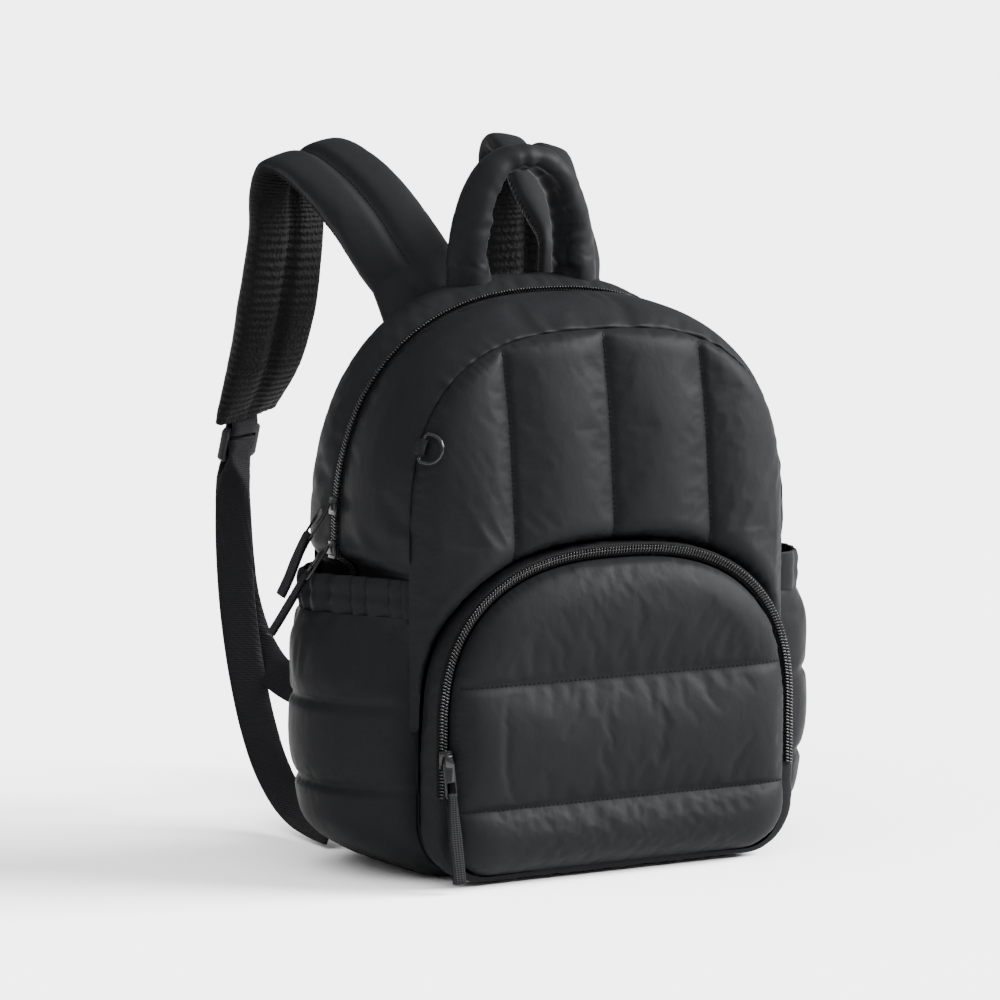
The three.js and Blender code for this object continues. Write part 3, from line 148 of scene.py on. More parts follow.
def round_outline(half_width: float, spring: float, rise: float, power: float, floor: float, corner: float,
                  counts: tuple[int, int]) -> np.ndarray:
    """Closed outline: arch, straight sides, and a floor with round corners.

    Args:
        half_width: half of its width.
        spring: height where the arch starts.
        rise: height of the arch.
        power: squareness of the arch.
        floor: height of the floor.
        corner: radius of the corners.
        counts: points of the arch and of a corner.

    Returns:
        Its points (x, z) in millimetres, the first one again at the end.
    """
    arch = arch_line(half_width, spring, rise, power, counts[0])
    right = [(half_width - corner + corner * math.cos(turn), floor + corner * (1 - math.sin(turn)))
             for turn in np.linspace(0, math.pi / 2, counts[1])]
    return np.array(arch + right + [(-x, z) for x, z in reversed(right)] + arch[:1])


def grid_row(row: int, width: int) -> list[int]:
    """Vertices of one row of a grid piece."""
    return list(range(row * width, (row + 1) * width))


def grid_column(column: int, width: int, rows: int, first: int = 0) -> list[int]:
    """Vertices of one column of a grid piece, from a first row on."""
    return list(range(first * width + column, rows * width, width))


def arch_z(x: float, half_width: float, spring: float, rise: float, power: float) -> float:
    """Height of an arched outline at x."""
    return spring + rise * (1 - clamp01(abs(x) / half_width) ** power) ** (1 / power)


def ripple(run: float, across: float, seed: float, wave: float) -> float:
    """Seeded noise for gathers: fast along a seam, slow away from it. All in millimetres."""
    return noise.noise(Vector((run / wave, across / (3.5 * wave), seed * 7.31)))


def resample(points: np.ndarray, spacing: float) -> np.ndarray:
    """Points at even steps along a polyline, both ends kept.

    Args:
        points: the polyline's corners.
        spacing: distance between two points.

    Returns:
        The points.
    """
    steps = np.linalg.norm(np.diff(points, axis=0), axis=1)
    run = np.concatenate([[0.0], np.cumsum(steps)])
    count = max(2, int(round(run[-1] / spacing)) + 1)
    at = np.linspace(0.0, run[-1], count)
    return np.stack([np.interp(at, run, points[:, axis]) for axis in range(points.shape[1])], axis=1)


# The bag's form in millimetres, as in its part source

@dataclass(frozen=True)
class BagForm:
    """Driving sizes of the bag and the curved surfaces that they give."""

    half_width: float = 140.0
    spring_z: float = 212.0
    front_rise: float = 140.0
    crown_rise: float = 165.0
    front_y: float = -70.0
    depth: float = 128.0
    corner: float = 35.0
    side_swell: float = 15.0
    side_tuck: float = 6.0
    gusset_foot_z: float = 60.0
    gusset_puff: float = 3.0
    zip_width: float = 8.0
    power_front: float = 2.85
    power_back: float = 2.4
    hem_top_z: float = 197.0
    hem_height: float = 25.0
    relief: float = 14.0
    swell_low: float = 0.45
    seam_edge: float = 2.6

    SWELL = ((0.0, 0.0), (0.14, 0.42), (0.27, 0.74), (0.55, 1.0), (0.75, 0.9), (0.9, 0.5), (1.0, 0.1))
    RISE = ((0.0, 0.8485), (0.14, 0.89), (0.27, 0.927), (0.55, 0.964), (0.75, 1.0), (0.9, 0.985),
            (1.0, 0.95))
    FLOOR = ((0.0, 0.17), (0.14, 0.0), (0.27, 0.0), (0.55, 0.0), (0.75, 0.0), (0.9, 0.12), (1.0, 0.52))

    @property
    def back_y(self) -> float:
        """Plane of the back seam."""
        return self.front_y + self.depth

    def depth_at(self, y: float) -> float:
        """Depth share of a y."""
        return (y - self.front_y) / self.depth

    def rise_at(self, depth: float) -> float:
        """Arch height at a depth share."""
        return self.crown_rise * read_table(self.RISE, depth)

    def floor_at(self, depth: float) -> float:
        """Height of the underside at a depth share."""
        return self.corner * max(0.0, read_table(self.FLOOR, depth))

    def power_at(self, depth: float) -> float:
        """Squareness of the arch at a depth share."""
        return mix(self.power_front, self.power_back, smooth(depth * 2))

    def half_width_at(self, depth: float, z: float) -> float:
        """Half width at a depth share and height, pressed in behind the side pockets."""
        free = smooth((z - self.hem_top_z) / self.relief)
        swell = self.side_swell * read_table(self.SWELL, depth)
        return self.half_width + swell * mix(self.swell_low, 1, free) - self.side_tuck * (1 - free)

    def wall(self, station: tuple[str, float, float], y: float, inset: float = 0.0) -> Vector:
        """Point of the gusset.

        Args:
            station: ("side", side, z) or ("arch", 0, angle), from the foot on the left over the crown.
            y: place across the gusset.
            inset: how far inside the bag's form.

        Returns:
            The point, in millimetres.
        """
        depth = self.depth_at(y)
        kind, side, value = station
        if kind == "side":
            return Vector((side * (self.half_width_at(depth, value) - inset), y, value))
        power = self.power_at(depth)
        cosine, sine = -math.cos(value), max(0.0, math.sin(value))
        share = bent(cosine, 2 / power)
        z = self.spring_z + sine ** (2 / power) * (self.rise_at(depth) - inset)
        return Vector((share * (self.half_width_at(depth, z) - inset), y, z))

    def wall_stations(self, spacing: float) -> list[tuple[str, float, float]]:
        """Stations up the left side, over the arch and down the right side, at even steps.

        Args:
            spacing: distance between two of them, in millimetres.

        Returns:
            Name of the stretch, side and share or height of each station.
        """
        fine = [("side", -1.0, mix(self.gusset_foot_z, self.spring_z, index / 80)) for index in range(80)]
        fine += [("arch", 0.0, math.pi * index / 800) for index in range(801)]
        fine += [("side", 1.0, mix(self.spring_z, self.gusset_foot_z, index / 80))
                 for index in range(1, 81)]
        points = np.array([self.wall(station, 0.0) for station in fine])
        run = np.concatenate([[0.0], np.cumsum(np.linalg.norm(np.diff(points, axis=0), axis=1))])
        count = int(run[-1] / spacing) + 1
        picks = np.searchsorted(run, np.linspace(0.0, run[-1], count)).clip(0, len(fine) - 1)
        return [fine[index] for index in sorted(set(picks.tolist()))]

    def base(self, station: tuple[str, float, float], y: float, inset: float = 0.0) -> Vector:
        """Point of the bottom boxing, in millimetres.

        Args:
            station: ("side", side, z), ("corner", side, angle) or ("flat", 0, share of its half width).
            y: place across the boxing.
            inset: how far inside the bag's form.

        Returns:
            The point.
        """
        depth = self.depth_at(y)
        floor = self.floor_at(depth)
        kind, side, value = station
        centre = self.half_width - self.corner
        if kind == "side":
            return Vector((side * (self.half_width_at(depth, value) - inset), y, value))
        if kind == "flat":
            return Vector((value * centre, y, floor + inset))
        reach = self.half_width_at(depth, 0.0) - inset - centre
        z = floor + self.corner - (self.corner - inset) * math.sin(value)
        return Vector((side * (centre + reach * math.cos(value)), y, z))

    def crown_z(self, x: float, y: float) -> float:
        """Outer height of the crown, with the padding of the rear gusset strip.

        Args:
            x: place across.
            y: place in depth.

        Returns:
            Height over the floor, in millimetres.
        """
        depth = self.depth_at(y)
        start = self.zip_width / 2 + 0.3
        puff = self.gusset_puff * lens((y - start) / (self.back_y - start))
        rise = self.rise_at(depth)
        width = self.half_width_at(depth, self.spring_z + rise)
        return arch_z(x, width + puff, self.spring_z, rise + puff, self.power_at(depth))

    def front_top(self, x: float) -> float:
        """Height of the front seam over x."""
        return arch_z(x, self.half_width, self.spring_z, self.front_rise, self.power_front)


# Fabric: fine sheets that swell between their sewn lines

@dataclass(frozen=True)
class Swell:
    """How a piece swells: pressure, extra cloth, the farthest that a point may move in mm, and frames."""

    pressure: float
    growth: float
    cap: float
    bending: float = 0.6
    frames: int = 16


@dataclass(frozen=True)
class Pucker:
    """Gathers beside a sewn line: height, length from the line and wave along it, in mm."""

    height: float
    reach: float
    wave: float


class Cloth:
    """Simulates all soft pieces together and applies the results."""

    def __init__(self) -> None:
        """Start with nothing queued."""
        self.pending: list[tuple[bpy.types.Object, Swell]] = []

    def add(self, piece: bpy.types.Object, swell: Swell) -> None:
        """Queue a piece whose vertex group "sewn" holds what can't move.

        Args:
            piece: the mesh object.
            swell: its settings.
        """
        modifier = piece.modifiers.new("Swell", "CLOTH")
        settings = modifier.settings
        settings.quality = 4
        settings.mass = 0.12
        settings.tension_stiffness = settings.compression_stiffness = 12
        settings.shear_stiffness = 4
        settings.bending_stiffness = swell.bending
        settings.air_damping = 4
        settings.vertex_group_mass = "sewn"
        settings.pin_stiffness = 10
        settings.use_pressure = True
        settings.uniform_pressure_force = swell.pressure
        settings.shrink_min = -swell.growth
        settings.effector_weights.gravity = 0
        modifier.collision_settings.use_collision = False
        modifier.point_cache.frame_start = 1
        modifier.point_cache.frame_end = swell.frames
        self.pending.append((piece, swell))

    def run(self) -> None:
        """Step every queued piece through its frames, cap the moves, and leave plain meshes."""
        scene = bpy.context.scene
        last = max(swell.frames for _, swell in self.pending)
        for frame in range(1, last + 1):
            scene.frame_set(frame)
        graph = bpy.context.evaluated_depsgraph_get()
        for piece, swell in self.pending:
            moved = np.empty(len(piece.data.vertices) * 3)
            piece.evaluated_get(graph).data.vertices.foreach_get("co", moved)
            start = np.empty_like(moved)
            piece.data.vertices.foreach_get("co", start)
            move = (moved - start).reshape(-1, 3)
            length = np.linalg.norm(move, axis=1, keepdims=True)
            limit = swell.cap * MM
            move *= np.where(length > limit, limit / np.maximum(length, 1e-9), 1.0)
            piece.modifiers.clear()
            piece.data.vertices.foreach_set("co", (start.reshape(-1, 3) + move).ravel())
            piece.data.update()
        scene.frame_set(1)
        self.pending.clear()


def new_mesh(name: str, points: Sequence, faces: Iterable, sewn: Iterable[int] = ()) -> bpy.types.Object:
    """Make a smooth-shaded object from points in millimetres.

    Args:
        name: the object's name.
        points: its vertices, in the row frame, in millimetres.
        faces: index tuples.
        sewn: vertices that the cloth simulation holds still.

    Returns:
        The linked object, at the origin.
    """
    mesh = bpy.data.meshes.new(name)
    mesh.from_pydata([tuple(coordinate * MM for coordinate in point) for point in points], [], list(faces))
    mesh.validate()
    mesh.shade_smooth()
    piece = bpy.data.objects.new(name, mesh)
    bpy.context.scene.collection.objects.link(piece)
    piece.vertex_groups.new(name="sewn").add(sorted(set(sewn)), 1.0, "REPLACE")
    return piece


def applied(piece: bpy.types.Object) -> bpy.types.Object:
    """Replace a piece's mesh with its modified one, and drop its modifiers and groups.

    Args:
        piece: the object.

    Returns:
        The same object.
    """
    graph = bpy.context.evaluated_depsgraph_get()
    baked = bpy.data.meshes.new_from_object(piece.evaluated_get(graph))
    piece.modifiers.clear()
    piece.data = baked
    piece.vertex_groups.clear()
    baked.shade_smooth()
    return piece


def subdivided(piece: bpy.types.Object, levels: int = 1) -> bpy.types.Object:
    """Add rounds of subdivision to a finished piece.

    Args:
        piece: the object.
        levels: how many rounds.

    Returns:
        The same object.
    """
    modifier = piece.modifiers.new("Smooth", "SUBSURF")
    modifier.levels = modifier.render_levels = levels
    modifier.boundary_smooth = "PRESERVE_CORNERS"
    return applied(piece)


def joined(name: str, pieces: Sequence[bpy.types.Object]) -> bpy.types.Object:
    """Join finished pieces into the first one, materials kept.

    Args:
        name: name of the result.
        pieces: the objects; the first one stays.

    Returns:
        The first object.
    """
    keep = pieces[0]
    with bpy.context.temp_override(active_object=keep, object=keep, selected_objects=list(pieces),
                                   selected_editable_objects=list(pieces)):
        bpy.ops.object.join()
    keep.name = name
    return keep


def gather(piece: bpy.types.Object, line: Sequence[int], pucker: Pucker, seed: int) -> None:
    """Raise and sink a piece in short folds beside a sewn line.

    Args:
        piece: the mesh, before its simulation.
        line: its vertices along the sewn line, in order.
        pucker: size of the folds.
        seed: makes each line's folds its own.
    """
    mesh = piece.data
    tree, run, before = KDTree(len(line)), [], None
    for number, index in enumerate(line):
        at = mesh.vertices[index].co
        run.append(run[-1] + (at - before).length / MM if run else 0.0)
        tree.insert(at, number)
        before = at
    tree.balance()
    moves = []
    for vertex in mesh.vertices:
        _, number, distance = tree.find(vertex.co)
        distance /= MM
        if 0.5 < distance < 3 * pucker.reach:
            fade = math.exp(-distance / pucker.reach) * smooth(distance / 2.8)
            fold = ripple(run[number], distance, seed + SEED, pucker.wave)
            moves.append((vertex, vertex.normal.copy(), pucker.height * fade * fold * MM))
    for vertex, normal, move in moves:
        vertex.co += normal * move
    mesh.update()


@dataclass
class Panel:
    """A sewn panel laid out flat in x and z, with quilting lines and a height over its seam plane.

    Attributes:
        name: the object's name.
        edges: open polylines, (n, 2) in millimetres, that follow each other round the panel.
        quilting: open polylines of the sewn channels.
        height: distance that a point stands off the seam plane, from x, z and its distance to each edge.
        place: where a point of the panel is in the row frame, from x, z and its height.
        spacing: size of a cell.
    """

    name: str
    edges: Sequence[np.ndarray]
    quilting: Sequence[np.ndarray]
    height: Callable[[float, float, Sequence[float]], float]
    place: Callable[[float, float, float], tuple[float, float, float]]
    spacing: float = 3.0
    lines: list[list[int]] = field(default_factory=list)

    @staticmethod
    def _distance(points: np.ndarray, line: np.ndarray) -> np.ndarray:
        """Distance from each point to a polyline.

        Args:
            points: the points, (n, 2).
            line: the polyline's corners.

        Returns:
            One distance for each point.
        """
        best = np.full(len(points), np.inf)
        for start, end in zip(line[:-1], line[1:]):
            along = end - start
            share = np.clip((points - start) @ along / max(along @ along, 1e-9), 0, 1)
            best = np.minimum(best, np.linalg.norm(points - start - share[:, None] * along, axis=1))
        return best

    def _layout(self) -> tuple[np.ndarray, list, set[int]]:
        """Triangulate the panel along its sewn lines.

        Returns:
            Points, faces and the sewn points' indices.
        """
        outline = np.vstack([*self.edges, self.edges[0][:1]])
        rim = resample(outline, self.spacing)[:-1]
        lines = [resample(line, self.spacing) for line in self.quilting]
        low, high = outline.min(axis=0), outline.max(axis=0)
        grid = np.array([(x + (index % 2) * self.spacing / 2, z)
                         for index, z in enumerate(np.arange(low[1], high[1], self.spacing * 0.866))
                         for x in np.arange(low[0], high[0], self.spacing)])
        clear = self._distance(grid, np.vstack([rim, rim[:1]])) > self.spacing * 0.6
        for line in lines:
            clear &= self._distance(grid, line) > self.spacing * 0.55
        points = [Vector(point) for point in np.vstack([rim, *lines, grid[clear]])]
        counts = [len(rim)] + [len(line) for line in lines]
        starts = np.cumsum([0] + counts)
        edges = [(index, index + 1) for start, count in zip(starts[1:], counts[1:])
                 for index in range(start, start + count - 1)]
        laid, _, faces, origin, _, _ = delaunay_2d_cdt(points, edges, [list(range(len(rim)))], 1, 1e-4)
        where = {source: index for index, sources in enumerate(origin) for source in sources}
        self.lines = [[where[index] for index in range(start, start + count) if index in where]
                      for start, count in zip(starts, counts)]
        return np.array([tuple(point) for point in laid]), faces, {i for line in self.lines for i in line}

    def build(self) -> bpy.types.Object:
        """Lay the panel out and place it. Its sewn lines are then in lines, the rim first.

        Returns:
            The panel, before its simulation.
        """
        flat, faces, sewn = self._layout()
        distances = np.stack([self._distance(flat, edge) for edge in self.edges], axis=1)
        points = [self.place(x, z, self.height(x, z, distances[index]))
                  for index, (x, z) in enumerate(flat)]
        return new_mesh(self.name, points, faces, sewn)


def grid_piece(name: str, rows: Sequence, columns: Sequence, point: Callable,
               held: Callable[[int, int], bool], round_rows: bool = False,
               round_columns: bool = False) -> bpy.types.Object:
    """Make a piece from a grid of points.

    Args:
        name: the object's name.
        rows: keys along one way.
        columns: keys along the other way.
        point: place of a point, from its row key and column key, in millimetres.
        held: True for the row and column numbers that are sewn down.
        round_rows: whether the last row joins the first.
        round_columns: whether the last column joins the first.

    Returns:
        The object; the vertex of a row and column number is row * len(columns) + column.
    """
    width = len(columns)
    points = [point(row, column) for row in rows for column in columns]
    faces = []
    for i in range(len(rows) if round_rows else len(rows) - 1):
        for j in range(width if round_columns else width - 1):
            i2, j2 = (i + 1) % len(rows), (j + 1) % width
            faces.append((i * width + j, i2 * width + j, i2 * width + j2, i * width + j2))
    sewn = [i * width + j for i in range(len(rows)) for j in range(width) if held(i, j)]
    return new_mesh(name, points, faces, sewn)


def facing_out(piece: bpy.types.Object, centre: Vector) -> bpy.types.Object:
    """Turn a sheet's faces away from a point inside the bag, in millimetres.

    Args:
        piece: the sheet.
        centre: the point inside.

    Returns:
        The same object.
    """
    mesh = piece.data
    middle = centre * MM
    total = sum((face.center - middle).dot(face.normal) * face.area for face in mesh.polygons)
    if total < 0:
        mesh.flip_normals()
    return piece


# Sub-assemblies

@dataclass
class FrontPanel:
    """Quilted front panel: four upright channels between the front seam and the pocket's arch."""

    form: BagForm
    swell: float = 17.0
    channel_puff: float = 9.5
    seam_sink: float = 1.6
    channels: tuple[float, ...] = (-1.0, -0.53, 0.0, 0.52, 1.0)
    top_lean: float = 0.25
    pocket_half_width: float = 136.0
    pocket_spring_z: float = 100.0
    pocket_rise: float = 116.0
    pocket_power: float = 2.5
    edge_reach: float = 30.0
    rim_pucker: Pucker = Pucker(2.4, 5, 6.5)
    quilt_pucker: Pucker = Pucker(0.4, 5, 5)
    filling: Swell = Swell(pressure=2.6, growth=0.005, cap=4)
    seam_lines: list[list[int]] = field(default_factory=list)

    def _cut(self, x: float) -> float:
        """Height of the pocket's arch over x."""
        return arch_z(x, self.pocket_half_width, self.pocket_spring_z, self.pocket_rise, self.pocket_power)

    def _height(self, x: float, z: float, distances: Sequence[float]) -> float:
        """Distance that the panel stands forward of its seam plane.

        Args:
            x: place across.
            z: height over the floor.
            distances: distance to each edge.

        Returns:
            Millimetres forward.
        """
        seam, pocket = float(distances[0]), float(distances[1])
        share = x / self.form.half_width
        end = next(index for index, line in enumerate(self.channels) if line >= share or index == 4)
        low, high = self.channels[max(0, end - 1)], self.channels[max(1, end)]
        channel = lens((share - low) / (high - low), 0.45)
        apex, foot = self.form.spring_z + self.form.front_rise, self.pocket_spring_z + self.pocket_rise
        lean = self.swell * mix(1, self.top_lean, clamp01((z - foot) / (apex - foot)))
        above = fullness(pocket, self.edge_reach / 2)
        edge = math.sin(math.pi / 2 * clamp01(seam / (2 * self.edge_reach)))
        rim = (self.form.seam_edge + self.seam_sink) * fullness(seam, 5) - self.seam_sink
        puff = self.channel_puff * channel * above * fullness(seam, self.edge_reach / 2)
        return rim + edge * lean * mix(0.55, 1, above) + puff

    def build(self, cloth: Cloth) -> bpy.types.Object:
        """Lay out the panel and queue it for the simulation.

        Args:
            cloth: the simulation that the piece is queued in.

        Returns:
            The panel.
        """
        form = self.form
        top = arch_line(form.half_width, form.spring_z, form.front_rise, form.power_front, 240)
        feet = [(side * form.half_width, self.pocket_spring_z) for side in (-1, 1)]
        seam = np.array([feet[0], *top, feet[1]])
        across = self.pocket_half_width * np.cos(np.linspace(0, math.pi, 200))
        cut = np.array([(x, self._cut(x)) for x in across])
        quilting = [np.array([(line * form.half_width, z) for z in np.linspace(
            self._cut(line * form.half_width) + 1.5, form.front_top(line * form.half_width) - 1.5, 60)])
            for line in self.channels[1:-1]]
        panel = Panel("front_panel_quilted", [seam, cut], quilting, self._height,
                      lambda x, z, rise: (x, form.front_y - EDGE_GAP - rise, z))
        piece = panel.build()
        facing_out(piece, Vector((0, 0, 200)))
        gather(piece, panel.lines[0], self.rim_pucker, 1)
        for number, line in enumerate(panel.lines[1:]):
            gather(piece, line, self.quilt_pucker, 2 + number)
        cloth.add(piece, self.filling)
        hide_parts("front_panel")
        self.seam_lines = panel.lines[1:]
        return piece


@dataclass
class PocketFace:
    """Quilted face of the front pocket: three level channels inside the zip."""

    form: BagForm
    half_width: float = 125.6
    spring_z: float = 100.0
    rise: float = 106.0
    power: float = 2.5
    floor_z: float = 6.9
    corner: float = 31.0
    zip_y: float = -95.0
    puff: float = 15.0
    quilt_lines: tuple[float, ...] = (0.22, 0.62)
    rim_pucker: Pucker = Pucker(0.9, 7, 7)
    quilt_pucker: Pucker = Pucker(0.4, 7, 9)
    filling: Swell = Swell(pressure=2.6, growth=0.006, cap=4)
    seam_lines: list[list[int]] = field(default_factory=list)

    def outline(self) -> np.ndarray:
        """Seam round the face: arch, straight sides and round bottom corners."""
        return round_outline(self.half_width, self.spring_z, self.rise, self.power, self.floor_z,
                             self.corner, (200, 24))

    def _half_width_at(self, z: float) -> float:
        """Half width of the face at a height.

        Args:
            z: height over the floor.

        Returns:
            Half width in millimetres.
        """
        if z > self.spring_z:
            share = min(1.0, (z - self.spring_z) / self.rise)
            return self.half_width * (1 - share ** self.power) ** (1 / self.power)
        drop = max(0.0, self.floor_z + self.corner - z)
        return self.half_width - self.corner + math.sqrt(max(0.0, self.corner ** 2 - drop ** 2))

    def _height(self, x: float, z: float, distances: Sequence[float]) -> float:
        """Distance that the face stands forward of its zip.

        Args:
            x: place across.
            z: height over the floor.
            distances: distance to each edge.

        Returns:
            Millimetres forward.
        """
        share = (z - self.floor_z) / (self.spring_z + self.rise - self.floor_z)
        lines = (0.0, *self.quilt_lines, 1.0)
        end = next(index for index in (1, 2, 3) if lines[index] >= share or index == 3)
        channel = lens((share - lines[end - 1]) / (lines[end] - lines[end - 1]), 0.42)
        distance = float(distances[0])
        return self.puff * fullness(distance, 30) * mix(0.55, 1, channel) + 0.8 * fullness(distance, 3)

    def build(self, cloth: Cloth) -> bpy.types.Object:
        """Lay out the face and queue it for the simulation.

        Args:
            cloth: the simulation that the piece is queued in.

        Returns:
            The face.
        """
        quilting = []
        for share in self.quilt_lines:
            z = mix(self.floor_z, self.spring_z + self.rise, share)
            reach = self._half_width_at(z) - 1.5
            quilting.append(np.array([(x, z) for x in np.linspace(-reach, reach, 80)]))
        panel = Panel("pocket_face_quilted", [self.outline()], quilting, self._height,
                      lambda x, z, rise: (x, self.zip_y - rise, z))
        piece = panel.build()
        facing_out(piece, Vector((0, 0, 100)))
        gather(piece, panel.lines[0], self.rim_pucker, 11)
        for number, line in enumerate(panel.lines[1:]):
            gather(piece, line, self.quilt_pucker, 12 + number)
        cloth.add(piece, self.filling)
        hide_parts("pocket_face")
        self.seam_lines = panel.lines[1:]
        return piece


@dataclass
class BagBody:
    """Gusset strips on both sides of the main zip, the bottom boxing and the back panel."""

    form: BagForm
    spacing: float = 3.2
    back_puff: float = 6.0
    allowance: float = 2.6
    allowance_rise: float = 1.5
    roll: float = 3.8
    front_pucker: Pucker = Pucker(2.6, 5, 7)
    strip_pucker: Pucker = Pucker(0.7, 7, 7)
    strip_filling: Swell = Swell(pressure=1.8, growth=0.012, cap=4)
    back_pucker: Pucker = Pucker(0.8, 9, 8)
    back_filling: Swell = Swell(pressure=1.2, growth=0.004, cap=3)

    def _strip(self, name: str, node: str, from_y: float, to_y: float, seed: int,
               cloth: Cloth) -> bpy.types.Object:
        """One strip of the gusset, gathered along both of its seams.

        Args:
            name: name of the piece.
            node: the CAD node that it stands for.
            from_y: its front edge.
            to_y: its rear edge.
            seed: makes its folds its own.
            cloth: the simulation that the piece is queued in.

        Returns:
            The strip.
        """
        form = self.form
        stations = form.wall_stations(self.spacing)
        shares = [-1.0, *np.linspace(0, 1, max(6, int((to_y - from_y) / self.spacing) + 1)), 2.0]
        last = len(shares) - 1

        def point(station: tuple, share: float) -> Vector:
            """Place of a station and a share of the strip's width.

            Args:
                station: where it is round the bag.
                share: share of the strip's width.

            Returns:
                Its place in millimetres.
            """
            if share in (-1.0, 2.0):
                edge = from_y if share < 0 else to_y
                return form.wall(station, edge + self.allowance_rise, self.allowance)
            run = station[2] if station[0] == "side" else 190 * station[2]
            roll = 0.0
            if node == "gusset_front":
                roll = math.sin(math.pi * clamp01(share * (to_y - from_y) / 9))
            y = mix(from_y, to_y, share) - self.roll * roll * (1 + 0.8 * ripple(run, 0, seed, 7.5))
            return form.wall(station, max(y, from_y), -form.gusset_puff * lens(share, 0.5)) + Vector(
                (0, min(0.0, y - from_y), 0))

        ends = (0, len(stations) - 1)
        piece = grid_piece(name, stations, shares, point,
                           lambda i, j: j in (0, 1, last - 1, last) or i in ends)
        facing_out(piece, Vector((0, 0, 200)))
        for number, column in enumerate((1, last - 1)):
            line = grid_column(column, len(shares), len(stations))
            front = node == "gusset_front" and column == 1
            gather(piece, line, self.front_pucker if front else self.strip_pucker, seed + number)
        cloth.add(piece, self.strip_filling)
        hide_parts(node)
        return piece

    def _base(self) -> bpy.types.Object:
        """Bottom boxing with its flat underside; it carries the load, so it isn't simulated.

        Returns:
            The finished piece.
        """
        form = self.form
        bends = np.linspace(0, math.pi / 2, 12)[:-1]
        sides = np.linspace(form.gusset_foot_z - EDGE_GAP, form.corner, 8)[:-1]
        left = [("side", -1.0, z) for z in sides] + [("corner", -1.0, bend) for bend in bends]
        flat = [("flat", 0.0, x) for x in np.linspace(-1, 1, 40)]
        right = [(kind, 1.0, value) for kind, _, value in reversed(left)]
        ys = [(y, 0.0) for y in np.linspace(form.front_y + EDGE_GAP, form.back_y - EDGE_GAP, 44)]
        tucked = [(y + self.allowance_rise, self.allowance) for y in (form.front_y, form.back_y - EDGE_GAP)]
        ys = [tucked[0], *ys, tucked[1]]
        piece = grid_piece("bottom_boxing_sewn", left + flat + right, ys,
                           lambda station, at: form.base(station, *at), lambda i, j: True)
        facing_out(piece, Vector((0, 0, 150)))
        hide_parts("bottom_boxing")
        return piece

    def _back(self, cloth: Cloth) -> bpy.types.Object:
        """Padded back panel in air mesh.

        Args:
            cloth: the simulation that the piece is queued in.

        Returns:
            The panel.
        """
        form = self.form
        rise = form.rise_at(1.0)
        power, floor = form.power_back, form.floor_at(1.0)
        outline = round_outline(form.half_width, form.spring_z, rise, power, floor, form.corner, (200, 20))
        seams = [np.array([(x, z) for z in np.linspace(floor + 2, arch_z(
            x, form.half_width, form.spring_z, rise, power) - 2, 60)]) for x in (-62.0, 62.0)]

        def height(x: float, z: float, distances: Sequence[float]) -> float:
            """Padding between the two upright seams and the rim.

            Args:
                x: place across.
                z: height over the floor.
                distances: distance to each edge.

            Returns:
                Height over the seam plane.
            """
            line = min(abs(abs(x) - 62.0) / 14.0, 1.0)
            puff = self.back_puff * fullness(float(distances[0]), 30)
            return 1.2 + puff * mix(0.45, 1, math.sin(math.pi / 2 * line))

        panel = Panel("back_panel_padded", [outline], seams, height,
                      lambda x, z, rise_out: (x, form.back_y + EDGE_GAP + rise_out, z), spacing=4.0)
        piece = panel.build()
        facing_out(piece, Vector((0, 0, 200)))
        gather(piece, panel.lines[0], self.back_pucker, 31)
        cloth.add(piece, self.back_filling)
        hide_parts("back_panel")
        return piece

    def build(self, cloth: Cloth) -> dict[str, bpy.types.Object]:
        """Lay out the body's pieces.

        Args:
            cloth: the simulation that the piece is queued in.

        Returns:
            Each piece by its name.
        """
        form, edge = self.form, self.form.zip_width / 2 - 0.4
        front, rear = (form.front_y + EDGE_GAP, -edge), (edge, form.back_y - EDGE_GAP)
        return {
            "gusset_front": self._strip("gusset_front_sewn", "gusset_front", *front, 21, cloth),
            "gusset_rear": self._strip("gusset_rear_sewn", "gusset_rear", *rear, 25, cloth),
            "bottom_boxing": self._base(),
            "back_panel": self._back(cloth),
        }


